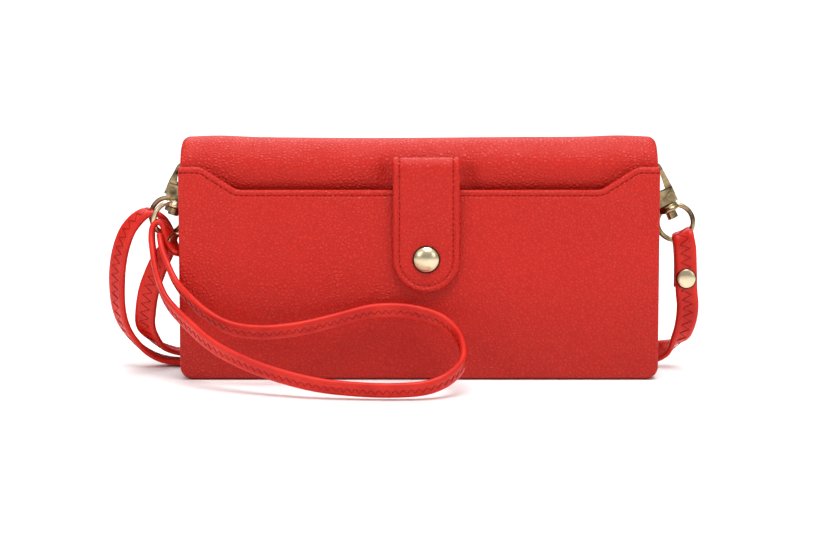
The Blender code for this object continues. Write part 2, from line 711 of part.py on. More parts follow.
def make_ring(label, side):
    """Rounded oblong wire ring, and the leather loop that holds its bar to the gusset."""
    low_y = ROLL_FRONT_Y + WALL / 2 + RING_WIRE + RING_SIDE_GAP
    high_y = INNER_BACK - RING_WIRE - GAP
    depth = RING_DEPTH
    r = RING_CORNER
    flat = arc((r, low_y + r), r, 180, 270, 3) + arc((depth - r, low_y + r), r, 270, 360, 3)
    flat += arc((depth - r, high_y - r), r, 0, 90, 3) + arc((r, high_y - r), r, 90, 180, 3)
    run = RING_X - BAR_X
    wire = []
    for out, y in flat:
        share = out / depth
        wire.append((side * (BAR_X + run * share), y, RING_HEIGHT + RING_LIFT * (1 - share)))
    add_object("d_ring_" + label, swept(wire, RING_WIRE, 8, closed=True), BRASS, smooth=True)
    make_ring_loop(label, side, (low_y + high_y) / 2)


def make_ring_loop(label, side, middle):
    """Leather loop round the ring's bar, with a tail sewn to the gusset."""
    bar_z = RING_HEIGHT + RING_LIFT
    hole = RING_WIRE + GAP
    outer = hole + LOOP_WALL
    face = GUSSET_OUTER + GAP
    bottom = bar_z - LOOP_TAIL
    outline = arc((BAR_X, bar_z), outer, -20, 180, 12)
    outline = [p for p in outline if p[0] > face]
    outline += [(face, outline[-1][1]), (face, bottom), (face + LOOP_WALL, bottom)]
    outline += [(face + LOOP_WALL, bar_z - outer - LOOP_WALL)]
    outline = [(side * x, z) for x, z in outline]
    low_y = middle - LOOP_WIDTH / 2
    loop = add_object("ring_loop_" + label, prism(outline, low_y, low_y + LOOP_WIDTH, "Y"), RED_LEATHER)
    bore = turned([(hole, -LOOP_WIDTH), (hole, LOOP_WIDTH)], 12,
                  facing((0, 1, 0), (side * BAR_X, middle, bar_z)))
    boolean(loop, "DIFFERENCE", bore, "loop_bore_" + label)


def clasp_place(side, lean_deg, depth):
    """Matrix of a clasp: x outwards, y to the back, z up its axis, origin inside the hook."""
    lean = math.radians(lean_deg)
    out = Vector((side * math.cos(lean), 0.0, math.sin(lean)))
    up = Vector((-side * math.sin(lean), 0.0, math.cos(lean)))
    place = Matrix.Identity(4)
    place.col[0][:3] = out
    place.col[1][:3] = (0.0, 1.0, 0.0)
    place.col[2][:3] = up
    place.col[3][:3] = (side * RING_X, depth, RING_HEIGHT)
    return place


def moved(solid, place):
    bmesh.ops.transform(solid, matrix=place, verts=solid.verts)
    return solid


def make_clasp(label, side, lean_deg, depth, shortening, collar_radius, turn_deg):
    """Hook with its block and peg, sprung gate, gate pin and swivelling eye."""
    place = clasp_place(side, lean_deg, depth)
    block_top = -(BLOCK_TOP - shortening)
    block_low = block_top - BLOCK_HEIGHT
    half = BLOCK_WIDTH / 2
    thick = BLOCK_THICK / 2
    block = box((-half, -thick, block_low), (half, thick, block_top))
    hook = add_object("hook_" + label, moved(block, place), BRASS)
    bend_z = -CLASP_WIRE / 2
    wire = [(-HOOK_RADIUS, 0.0, block_top - BLOCK_HEIGHT / 2), (-HOOK_RADIUS, 0.0, block_top / 2)]
    for x, z in arc((0.0, bend_z), HOOK_RADIUS, 180, 0, 10):
        wire.append((x, 0.0, z))
    wire.append((HOOK_RADIUS, 0.0, bend_z - CLASP_WIRE))
    boolean(hook, "UNION", moved(swept(wire, CLASP_WIRE, 10), place), "hook_wire_" + label)
    collar_top = block_low - GAP
    collar_low = collar_top - COLLAR_HEIGHT
    peg_top = collar_low - GAP
    peg = [(PEG_RADIUS, peg_top - PEG_HEIGHT), (PEG_RADIUS, peg_top), (POST_RADIUS, peg_top)]
    peg += [(POST_RADIUS, block_low + BLOCK_HEIGHT / 3)]
    boolean(hook, "UNION", moved(turned(peg, 16), place), "hook_peg_" + label)
    make_gate(label, hook, place, block_top)
    turn = Matrix.Rotation(math.radians(turn_deg), 4, "Z")
    make_eye(label, place @ turn, collar_low, shortening, collar_radius)


def make_gate(label, hook, place, block_top):
    """Flat gate on a pin in a slot of the block, closing against the hook's nose."""
    pivot_x = HOOK_RADIUS - CLASP_WIRE / 2
    pivot_z = block_top - BLOCK_HEIGHT / 2
    gate_half = GATE_THICK / 2
    slot = box((pivot_x - 3 * CLASP_WIRE, -gate_half - GAP, pivot_z - 2 * CLASP_WIRE),
               (BLOCK_WIDTH, gate_half + GAP, block_top + GAP))
    boolean(hook, "DIFFERENCE", moved(slot, place), "gate_slot_" + label)
    bore = GATE_PIN_RADIUS + GAP
    through = turned([(bore, -BLOCK_THICK), (bore, BLOCK_THICK)], 12,
                     facing((0, 1, 0), (pivot_x, 0.0, pivot_z)))
    boolean(hook, "DIFFERENCE", moved(through, place), "gate_bore_" + label)
    nose_z = -CLASP_WIRE * 1.5
    top = nose_z - GAP
    eye_outer = bore + GATE_THICK / 2
    outline = arc((pivot_x, pivot_z), eye_outer, 180, 360, 8)
    outline += [(pivot_x + eye_outer, block_top), (HOOK_RADIUS + CLASP_WIRE, top)]
    outline += [(HOOK_RADIUS - CLASP_WIRE * 0.8, top), (pivot_x - eye_outer * 0.6, block_top)]
    gate = add_object("gate_" + label, moved(prism(outline, -gate_half, gate_half, "Y"), place), BRASS)
    hole = turned([(bore, -BLOCK_THICK), (bore, BLOCK_THICK)], 12,
                  facing((0, 1, 0), (pivot_x, 0.0, pivot_z)))
    boolean(gate, "DIFFERENCE", moved(hole, place), "gate_eye_" + label)
    head = GATE_PIN_RADIUS * 1.9
    reach = BLOCK_THICK / 2
    end = reach + GAP + PIN_HEAD_THICK
    pin = [(head, -end), (head, -reach - GAP), (GATE_PIN_RADIUS, -reach - GAP)]
    pin += [(GATE_PIN_RADIUS, reach + GAP), (head, reach + GAP), (head, end)]
    solid = turned(pin, 12, facing((0, 1, 0), (pivot_x, 0.0, pivot_z)))
    add_object("gate_pin_" + label, moved(solid, place), BRASS)


def make_eye(label, place, collar_low, shortening, collar_radius):
    """Collar that turns on the hook's post, with the round eye that takes the strap."""
    collar = [(collar_radius, collar_low), (collar_radius, collar_low + COLLAR_HEIGHT)]
    eye = add_object("eye_" + label, moved(turned(collar, 20), place), BRASS)
    centre_z = -(CLASP_REACH - shortening)
    ring = []
    for x, z in arc((0.0, centre_z), EYE_RADIUS, 0, 345, 23):
        ring.append((x, 0.0, z))
    boolean(eye, "UNION", moved(swept(ring, CLASP_WIRE, 8, closed=True), place), "eye_ring_" + label)
    bore = POST_RADIUS + GAP
    hole = turned([(bore, collar_low - CLASP_WIRE), (bore, collar_low + 2 * COLLAR_HEIGHT)], 16)
    boolean(eye, "DIFFERENCE", moved(hole, place), "eye_bore_" + label)
    peg_room = PEG_RADIUS + GAP
    room = turned([(peg_room, centre_z), (peg_room, collar_low)], 16)
    boolean(eye, "DIFFERENCE", moved(room, place), "peg_room_" + label)


def eye_bottom(side, lean_deg, depth):
    """Lowest point inside a clasp's eye, in world coordinates."""
    centre = clasp_place(side, lean_deg, depth) @ Vector((0.0, 0.0, -CLASP_REACH))
    return Vector((centre.x, centre.y, centre.z - EYE_RADIUS))


def make_strap_end():
    """Doubled end of the crossbody strap below the right eye, and its rivet."""
    wire = eye_bottom(1, LEAN_RIGHT_DEG, CROSSBODY_DEPTH)
    top = wire.z - CLASP_WIRE - GAP
    half = STRAP_WIDTH / 2
    thick = STRAP_THICK + GAP / 2
    x = wire.x + half
    end = box((x - half, wire.y - thick, top - STRAP_END_LENGTH), (x + half, wire.y + thick, top))
    doubled = add_object("crossbody_strap_end", end, RED_LEATHER)
    rivet_z = top - RIVET_DROP
    place = facing((0, -1, 0), (x, wire.y, rivet_z))
    hole_radius = RIVET_POST + GAP
    hole = turned([(hole_radius, -2 * thick), (hole_radius, 2 * thick)], 16, place)
    boolean(doubled, "DIFFERENCE", hole, "strap_end_hole")
    seat = thick + GAP
    add_object("crossbody_rivet", turned(rivet_profile(seat), 24, place), BRASS, smooth=True)


def rivet_profile(seat):
    """Half section of a two-cap rivet whose caps sit a given way from its middle."""
    low_cap = [(RIVET_RADIUS * 0.5, -seat - RIVET_CAP), (RIVET_RADIUS, -seat - RIVET_CAP * 0.4)]
    low_cap += [(RIVET_RADIUS, -seat), (RIVET_POST, -seat)]
    return low_cap + [(r, -z) for r, z in reversed(low_cap)]


def make_wrist_rivet():
    """Rivet that closes the wrist strap below its eye, between the two strands."""
    upper = Vector(WRIST_ROUTE[1])
    lower = Vector(WRIST_ROUTE[-1])
    middle = (upper + lower) / 2
    seat = (upper - lower).length / 2 - WRIST_TUBE - 3 * GAP
    profile = [(RIVET_POST, -seat), (RIVET_POST, seat)]
    add_object("wrist_rivet", turned(profile, 16, facing(upper - lower, middle)), BRASS)


def make_hank():
    """Outer shape of the folded middle of the crossbody strap, which lies behind the wallet."""
    r = HANK_DEPTH / 2
    half = HANK_LENGTH / 2 - r
    outline = arc((half, HANK_CENTRE_Y), r, -90, 90, 12)
    outline += arc((-half, HANK_CENTRE_Y), r, 90, 270, 12)
    add_object("crossbody_hank", prism(outline, 0.0, HANK_HEIGHT, "Z"), RED_LEATHER)


def make_slide_buckle():
    """Slide that the crossbody strap's left end doubles back to: a frame with a middle bar."""
    x, y, z = BUCKLE_CENTRE
    half_x = BUCKLE_LENGTH / 2
    half_y = BUCKLE_WIDTH / 2
    frame = box((x - half_x, y - half_y, z), (x + half_x, y + half_y, z + BUCKLE_HEIGHT))
    buckle = add_object("slide_buckle", frame, BRASS)
    bar = BUCKLE_HEIGHT / 2
    for name, low, high in (("slot_left", -half_x + bar * 1.5, -bar), ("slot_right", bar, half_x - bar * 1.5)):
        slot = box((x + low, y - half_y + BUCKLE_HEIGHT, z - BUCKLE_HEIGHT),
                   (x + high, y + half_y - BUCKLE_HEIGHT, z + 2 * BUCKLE_HEIGHT))
        boolean(buckle, "DIFFERENCE", slot, name)


def make_straps():
    """Wrist strap, crossbody strap, their rivets, the hank and the slide."""
    make_strap_end()
    make_wrist_rivet()
    make_hank()
    make_slide_buckle()
    strap_tube("wrist_strap", WRIST_ROUTE, WRIST_TUBE, 72)
    eye = eye_bottom(1, LEAN_RIGHT_DEG, CROSSBODY_DEPTH)
    end_low = eye.z - CLASP_WIRE - GAP - STRAP_END_LENGTH
    first = RIGHT_ROUTE[0]
    start = (first[0], first[1], min(first[2], end_low - STRAP_START_GAP))
    strap_tube("crossbody_strap_right", (start, *RIGHT_ROUTE[1:]), STRAP_TUBE, 16)
    strap_tube("crossbody_strap_left", LEFT_ROUTE, STRAP_TUBE, 22)
    strap_tube("crossbody_strap_return", RETURN_ROUTE, STRAP_TUBE, 18)
    strap_tube("crossbody_strap_link", HANK_LINK_ROUTE, STRAP_TUBE, 5)


clear_scene()
make_front_panel()
make_body_shell()
make_back_flap()
make_gusset("gusset_left", -1)
make_gusset("gusset_right", 1)
make_card_slots()
make_coin_pocket()
make_closure_tab()
make_ring("left", -1)
make_ring("right", 1)
make_clasp("right", 1, LEAN_RIGHT_DEG, CROSSBODY_DEPTH, 0.0, COLLAR_RADIUS, 0.0)
make_clasp("left", -1, LEAN_LEFT_DEG, CROSSBODY_DEPTH, SMALL_SHORTENING, SMALL_COLLAR_RADIUS, EYE_TURN_DEG)
make_clasp("wrist", -1, LEAN_WRIST_DEG, WRIST_DEPTH, SMALL_SHORTENING, SMALL_COLLAR_RADIUS, -EYE_TURN_DEG)
make_straps()
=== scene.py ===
import math
import bmesh
import bpy
from mathutils import Matrix, Vector


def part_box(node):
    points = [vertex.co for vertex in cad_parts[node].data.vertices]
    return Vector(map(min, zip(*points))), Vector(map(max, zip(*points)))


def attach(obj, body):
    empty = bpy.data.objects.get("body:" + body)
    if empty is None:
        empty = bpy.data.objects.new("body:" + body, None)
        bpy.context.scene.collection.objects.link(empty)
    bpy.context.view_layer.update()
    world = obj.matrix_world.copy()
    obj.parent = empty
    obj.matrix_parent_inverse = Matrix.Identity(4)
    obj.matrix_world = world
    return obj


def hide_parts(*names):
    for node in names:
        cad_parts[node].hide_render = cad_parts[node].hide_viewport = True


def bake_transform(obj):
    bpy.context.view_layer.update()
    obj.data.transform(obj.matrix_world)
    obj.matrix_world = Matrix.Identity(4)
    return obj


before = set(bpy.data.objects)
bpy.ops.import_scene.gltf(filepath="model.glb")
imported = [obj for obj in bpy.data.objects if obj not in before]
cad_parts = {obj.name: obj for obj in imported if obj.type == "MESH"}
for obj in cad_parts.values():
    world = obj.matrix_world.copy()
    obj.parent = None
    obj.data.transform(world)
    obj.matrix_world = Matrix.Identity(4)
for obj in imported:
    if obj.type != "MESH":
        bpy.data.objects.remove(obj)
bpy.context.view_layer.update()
scene = bpy.context.scene

# Room: a long lens a little above the table, a white sheet of card under the wallet, one
# broad lamp above it, weaker ones at both sides and one behind that lights its top edge.
scene.view_settings.view_transform = "Standard"


def linear(code):
    """An sRGB hex colour as linear values."""
    parts = [int(code[k:k + 2], 16) / 255 for k in (1, 3, 5)]
    parts = [p / 12.92 if p <= 0.04045 else ((p + 0.055) / 1.055) ** 2.4 for p in parts]
    return (*parts, 1.0)


def add_node(tree, kind, links=None, **settings):
    """A node with its settings; links gives input sockets as values or as output sockets."""
    node = tree.nodes.new(kind)
    for key, value in settings.items():
        setattr(node, key, value)
    for key, value in (links or {}).items():
        if isinstance(value, bpy.types.NodeSocket):
            tree.links.new(value, node.inputs[key])
        else:
            node.inputs[key].default_value = value
    return node


def new_material(name):
    """A new node material, its tree and its shader."""
    made = bpy.data.materials.new(name)
    made.use_nodes = True
    shader = made.node_tree.nodes["Principled BSDF"]
    return made, made.node_tree, shader


def point_at(thing, place, target):
    """Put a lamp or camera at a place, looking at a target."""
    thing.location = place
    aim = Vector(target) - Vector(place)
    thing.rotation_euler = aim.to_track_quat("-Z", "Y").to_euler()
    scene.collection.objects.link(thing)


VIEW_RISE = math.radians(8.5)
VIEW_DISTANCE = 1.286
view_target = Vector((-0.0038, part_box("front_panel")[0][1], 0.0469))
lens = bpy.data.cameras.new("camera")
lens.lens = 135
lens.sensor_width = 36
camera = bpy.data.objects.new("camera", lens)
view_place = view_target + VIEW_DISTANCE * Vector((0, -math.cos(VIEW_RISE), math.sin(VIEW_RISE)))
point_at(camera, view_place, view_target)
scene.camera = camera

world = bpy.data.worlds.new("white_room")
world.use_nodes = True
room = world.node_tree
seen_white = add_node(room, "ShaderNodeBackground", {"Color": (1, 1, 1, 1), "Strength": 1.0})
# Light from the room itself: weak at eye height, stronger towards the ceiling.
heading = add_node(room, "ShaderNodeTexCoord")
height_part = add_node(room, "ShaderNodeSeparateXYZ", {"Vector": heading.outputs["Generated"]})
ceiling = add_node(room, "ShaderNodeMapRange",
                   {"Value": height_part.outputs["Z"], "From Min": 0.0, "From Max": 0.8,
                    "To Min": 0.17, "To Max": 0.62})
room_glow = add_node(room, "ShaderNodeBackground", {"Color": (1.0, 0.98, 0.97, 1),
                                                    "Strength": ceiling.outputs["Result"]})
ray = add_node(room, "ShaderNodeLightPath")
backdrop = add_node(room, "ShaderNodeMixShader", {0: ray.outputs["Is Camera Ray"], 1: room_glow.outputs[0],
                                                  2: seen_white.outputs[0]})
room.links.new(backdrop.outputs[0], room.nodes["World Output"].inputs["Surface"])
scene.world = world

softbox = bpy.data.lights.new("softbox_above", "SUN")
softbox.energy = 2.5
softbox.angle = math.radians(34)
LIT_SPOT = (0, 0, 0.05)
point_at(bpy.data.objects.new("softbox_above", softbox), (0.12, -0.34, 1.10), LIT_SPOT)
LAMPS = (
    ("lamp_left", (-0.75, -0.75, 0.60), 0.45, 2.2),
    ("lamp_right", (0.80, -0.70, 0.50), 0.40, 1.2),
    ("lamp_behind", (-0.10, 0.60, 0.75), 0.70, 4.0),
)
for lamp_name, lamp_place, lamp_size, lamp_power in LAMPS:
    lamp = bpy.data.lights.new(lamp_name, "AREA")
    lamp.size = lamp_size
    lamp.energy = lamp_power
    point_at(bpy.data.objects.new(lamp_name, lamp), lamp_place, LIT_SPOT)

card_white, card_tree, card_shader = new_material("white_card")
card_fibre = add_node(card_tree, "ShaderNodeTexNoise", {"Scale": 60.0, "Detail": 2.0})
card_tone = add_node(card_tree, "ShaderNodeMapRange",
                     {"Value": card_fibre.outputs["Fac"], "To Min": 0.90, "To Max": 0.92})
card_tree.links.new(card_tone.outputs["Result"], card_shader.inputs["Base Color"])
card_shader.inputs["Roughness"].default_value = 0.9
card_mesh = bpy.data.meshes.new("table_card")
CARD_HALF = 6
card_corners = [(-CARD_HALF, -CARD_HALF, 0), (CARD_HALF, -CARD_HALF, 0), (CARD_HALF, CARD_HALF, 0),
                (-CARD_HALF, CARD_HALF, 0)]
card_mesh.from_pydata(card_corners, [], [(0, 1, 2, 3)])
card_mesh.materials.append(card_white)
table_card = bpy.data.objects.new("table_card", card_mesh)
scene.collection.objects.link(table_card)


# Crossbody strap: folded strap leather 9.4 mm wide, turned edges, sewn down the middle with
# a zigzag of maroon thread. It runs from the right clasp's eye round behind the wallet, lies
# there folded on edge, and comes out at the left through its slide to the left clasp's eye.
MM = 0.001
STRAP_WIDE = 9.4 * MM
STRAP_THICK = 2.5 * MM
STRAP_BEAD = 0.22 * MM
FACE_SHARE = 0.86
CAP_ROUND = 0.4 * MM
CURVE_STEPS = 16


def smooth_route(stations, spacing):
    """Evenly spread stations (place and width direction) on a smooth curve through the given ones."""
    chain = [Vector(s[0]) for s in stations]
    across = [Vector(s[1]).normalized() for s in stations]
    chain = [chain[0] * 2 - chain[1]] + chain + [chain[-1] * 2 - chain[-2]]
    curve = []
    for i in range(1, len(chain) - 2):
        a, b, c, d = chain[i - 1:i + 3]
        for k in range(CURVE_STEPS):
            t = k / CURVE_STEPS
            place = 0.5 * (2 * b + (c - a) * t + (2 * a - 5 * b + 4 * c - d) * t ** 2
                           + (3 * b - a - 3 * c + d) * t ** 3)
            curve.append((place, across[i - 1].lerp(across[i], t).normalized()))
    curve.append((chain[-2], across[-1]))
    travelled = [0.0]
    for p, q in zip(curve, curve[1:]):
        travelled.append(travelled[-1] + (q[0] - p[0]).length)
    samples = max(3, round(travelled[-1] / spacing) + 1)
    spread = []
    i = 0
    for k in range(samples):
        goal = travelled[-1] * k / (samples - 1)
        while i < len(curve) - 2 and travelled[i + 1] < goal:
            i += 1
        share = min(1.0, (goal - travelled[i]) / (travelled[i + 1] - travelled[i]))
        place = curve[i][0].lerp(curve[i + 1][0], share)
        spread.append((place, curve[i][1].lerp(curve[i + 1][1], share).normalized()))
    return spread


def strap_frames(route):
    """Place, width direction and face direction at each station, square to the run."""
    frames = []
    for i, (place, across) in enumerate(route):
        run = (route[min(i + 1, len(route) - 1)][0] - route[max(i - 1, 0)][0]).normalized()
        wide = (across - run * across.dot(run)).normalized()
        frames.append((place, wide, run.cross(wide).normalized()))
    return frames


def strap_profile(wide, thick, bead):
    """Closed outline of a turned-edge strap: round edges, a bead by each and a flat middle."""
    half = wide / 2
    r = thick / 2
    faces = []
    for share in (0.0, 0.30, 0.58, 0.72, 0.82, 0.90):
        u = share * (half - r) / 0.90
        lift = bead * math.exp(-((u - half + 1.5 * r) / (0.55 * r)) ** 2)
        faces.append((u, r * FACE_SHARE + lift))
    edge = [(half - r + r * math.cos(math.radians(a)), r * math.sin(math.radians(a))) for a in (62, 36, 12)]
    quarter = faces + edge
    right = quarter + [(u, -w) for u, w in reversed(quarter)]
    left = [(-u, -w) for u, w in quarter[1:]] + [(-u, w) for u, w in reversed(quarter[1:])]
    return right + left


def link_mesh(name, verts, faces, look):
    """A smooth mesh object from points and faces, with its material, in the scene."""
    mesh = bpy.data.meshes.new(name)
    mesh.from_pydata([tuple(v) for v in verts], [], faces)
    mesh.materials.append(look)
    mesh.shade_smooth()
    made = bpy.data.objects.new(name, mesh)
    scene.collection.objects.link(made)
    return made


def sweep(frames, profile, look, name):
    """A closed mesh of a profile carried along frames, with rounded caps."""
    verts = []
    count = len(profile)
    rings = [(frames[0], 0.55, -CAP_ROUND), *[(f, 1.0, 0.0) for f in frames], (frames[-1], 0.55, CAP_ROUND)]
    for (place, wide, face), scale, push in rings:
        run = wide.cross(face)
        for u, w in profile:
            verts.append(place + wide * u * (0.94 if push else 1) + face * w * scale + run * push)
    faces = []
    for k in range(len(rings) - 1):
        for j in range(count):
            n = (j + 1) % count
            faces.append((k * count + j, k * count + n, (k + 1) * count + n, (k + 1) * count + j))
    faces.append(tuple(reversed(range(count))))
    faces.append(tuple(range((len(rings) - 1) * count, len(rings) * count)))
    made = link_mesh(name, verts, faces, look)
    square_up(made)
    return made


def square_up(made):
    """Turn a closed mesh's faces outwards."""
    body = bmesh.new()
    body.from_mesh(made.data)
    bmesh.ops.remove_doubles(body, verts=body.verts, dist=1e-6)
    bmesh.ops.recalc_face_normals(body, faces=body.faces)
    body.to_mesh(made.data)
    body.free()


def strap_leather():
    """Folded strap leather, dyed red and waxed: a fine tight grain, darker in its creases."""
    look, tree, shader = new_material("strap_leather")
    spot = add_node(tree, "ShaderNodeTexCoord")
    # Fine grain 0.9 mm across: drawn coarser than the real 0.5 mm so that it shows.
    grain = add_node(tree, "ShaderNodeTexVoronoi",
                     {"Vector": spot.outputs["Object"], "Scale": 1 / 0.0009, "Smoothness": 0.3},
                     feature="SMOOTH_F1")
    cloud = add_node(tree, "ShaderNodeTexNoise",
                     {"Vector": spot.outputs["Object"], "Scale": 1 / 0.012, "Detail": 3.0})
    tone = add_node(tree, "ShaderNodeValToRGB", {"Fac": cloud.outputs["Fac"]})
    tone.color_ramp.elements[0].position = 0.30
    tone.color_ramp.elements[0].color = linear("#c0170c")
    tone.color_ramp.elements[1].position = 0.72
    tone.color_ramp.elements[1].color = linear("#d62a1a")
    tree.links.new(tone.outputs["Color"], shader.inputs["Base Color"])
    bump = add_node(tree, "ShaderNodeBump",
                    {"Height": grain.outputs["Distance"], "Strength": 0.35, "Distance": 0.00012}, invert=True)
    tree.links.new(bump.outputs["Normal"], shader.inputs["Normal"])
    shader.inputs["Roughness"].default_value = 0.42
    shader.inputs["Specular IOR Level"].default_value = 0.27
    return look


def sewing_thread():
    """Twisted polyester thread, dark maroon, with the slant of its plies."""
    look, tree, shader = new_material("maroon_thread")
    spot = add_node(tree, "ShaderNodeTexCoord")
    # Plies about 0.4 mm apart.
    ply = add_node(tree, "ShaderNodeTexWave", {"Vector": spot.outputs["Object"], "Scale": 1 / 0.0028},
                   bands_direction="DIAGONAL")
    tone = add_node(tree, "ShaderNodeValToRGB", {"Fac": ply.outputs["Fac"]})
    tone.color_ramp.elements[0].color = linear("#7d0f0b")
    tone.color_ramp.elements[1].color = linear("#a81c14")
    tree.links.new(tone.outputs["Color"], shader.inputs["Base Color"])
    shader.inputs["Roughness"].default_value = 0.6
    shader.inputs["Specular IOR Level"].default_value = 0.15
    return look


strap_red = strap_leather()
thread = sewing_thread()

FLAT_Y = (0, -1, 0)
ON_EDGE = (0, 0, 1)
RUN_HALF = 77.5 * MM
FIRST_RUN_Y = 66 * MM
FOLD = 5 * MM
EDGE_Z = 5 * MM


def hank_stations():
    """The folded length behind the wallet: five runs on edge, a fold of 5 mm radius between them."""
    stations = []
    lines = [FIRST_RUN_Y - 2 * FOLD * k for k in range(5)]
    for k, y in enumerate(lines):
        way = -1 if k % 2 == 0 else 1
        last = k == len(lines) - 1
        shares = [-0.96, -0.5, 0.0, 0.5, 0.70] if last else [-0.96, -0.5, 0.0, 0.5, 0.96]
        for share in shares:
            stations.append(((way * share * RUN_HALF, y, EDGE_Z), ON_EDGE))
        if not last:
            for angle in (30, 90, 150):
                turn = math.radians(angle)
                place = (way * (RUN_HALF + FOLD * math.sin(turn)), y - FOLD + FOLD * math.cos(turn), EDGE_Z)
                stations.append((place, ON_EDGE))
    return stations


right_end = [
    ((0.1132, 0.0082, 0.0365), (1, 0, 0)),
    ((0.1132, 0.0081, 0.0450), (1, 0, 0)),
    ((0.1128, 0.0082, 0.0530), (1, 0, 0.2)),
    ((0.1122, 0.0086, 0.0570), (1, 0, 0.4)),
    ((0.1118, 0.0065, 0.0600), (1, 0, 0.45)),
    ((0.1122, 0.0044, 0.0570), (1, 0, 0.4)),
    ((0.1130, 0.0047, 0.0530), (1, 0, 0.2)),
    ((0.1134, 0.0050, 0.0450), (1, 0, 0)),
    ((0.1138, 0.0056, 0.0350), (1, 0, 0)),
    ((0.1145, 0.0068, 0.0285), (1, 0, 0)),
    ((0.1140, 0.0088, 0.0210), (1, 0.2, 0)),
    ((0.1120, 0.0118, 0.0140), (0.8, 0.5, -0.1)),
    ((0.1080, 0.0150, 0.0092), (0.3, 0.7, 0.5)),
    ((0.1020, 0.0185, 0.0064), (-0.1, 0.4, 0.9)),
    ((0.0965, 0.0220, 0.0053), ON_EDGE),
    ((0.0910, 0.0265, 0.0050), ON_EDGE),
    ((0.0905, 0.0360, 0.0050), ON_EDGE),
    ((0.0905, 0.0470, 0.0050), ON_EDGE),
    ((0.0885, 0.0580, 0.0050), ON_EDGE),
    ((0.0830, 0.0645, 0.0050), ON_EDGE),
]
to_slide = [
    ((-0.0620, 0.0255, 0.0048), (0, -0.3, 1)),
    ((-0.0695, 0.0245, 0.0042), (0, -0.8, 0.8)),
    ((-0.0762, 0.0232, 0.0034), (0, -1, 0.3)),
    ((-0.0835, 0.0218, 0.0026), FLAT_Y),
    ((-0.0900, 0.0212, 0.0034), FLAT_Y),
]
left_loop = [
    ((-0.0965, 0.0205, 0.0020), FLAT_Y),
    ((-0.1020, 0.0202, 0.0018), FLAT_Y),
    ((-0.1090, 0.0195, 0.0027), FLAT_Y),
    ((-0.1145, 0.0180, 0.0050), (0.1, -1, 0)),
    ((-0.1197, 0.0160, 0.0092), (0.25, -1, 0)),
    ((-0.1256, 0.0138, 0.0172), (0.45, -0.9, 0)),
    ((-0.1284, 0.0118, 0.0265), (0.6, -0.8, 0)),
    ((-0.1288, 0.0100, 0.0390), (0.7, -0.65, 0)),
    ((-0.1274, 0.0085, 0.0500), (0.7, -0.65, 0)),
    ((-0.1242, 0.0075, 0.0595), (0.7, -0.7, 0)),
    ((-0.1196, 0.0072, 0.0655), (0.6, -0.8, -0.1)),
    ((-0.1142, 0.0072, 0.0684), (0.4, -0.9, -0.1)),
    ((-0.1092, 0.0070, 0.0664), (0.3, -0.9, 0)),
    ((-0.1064, 0.0068, 0.0612), (0.4, -0.9, 0)),
    ((-0.1055, 0.0068, 0.0555), (0.6, -0.8, 0)),
    ((-0.1080, 0.0072, 0.0510), (0.8, -0.6, 0)),
    ((-0.1112, 0.0078, 0.0450), (0.9, -0.4, 0)),
    ((-0.1150, 0.0091, 0.0350), (0.95, -0.3, 0)),
    ((-0.1168, 0.0110, 0.0255), (0.95, -0.3, 0)),
    ((-0.1170, 0.0132, 0.0182), (0.9, -0.4, 0)),
    ((-0.1138, 0.0160, 0.0124), (0.7, -0.7, -0.2)),
    ((-0.1108, 0.0185, 0.0090), (0.4, -0.9, -0.1)),
    ((-0.1060, 0.0210, 0.0066), (0.1, -1, 0)),
    ((-0.1010, 0.0222, 0.0055), FLAT_Y),
    ((-0.0965, 0.0224, 0.0052), FLAT_Y),
    ((-0.0915, 0.0218, 0.0056), FLAT_Y),
]
crossbody_route = smooth_route(right_end + hank_stations() + to_slide + left_loop, 2.0 * MM)
crossbody_frames = strap_frames(crossbody_route)
crossbody = sweep(crossbody_frames, strap_profile(STRAP_WIDE, STRAP_THICK, STRAP_BEAD), strap_red,
                  "crossbody_strap")


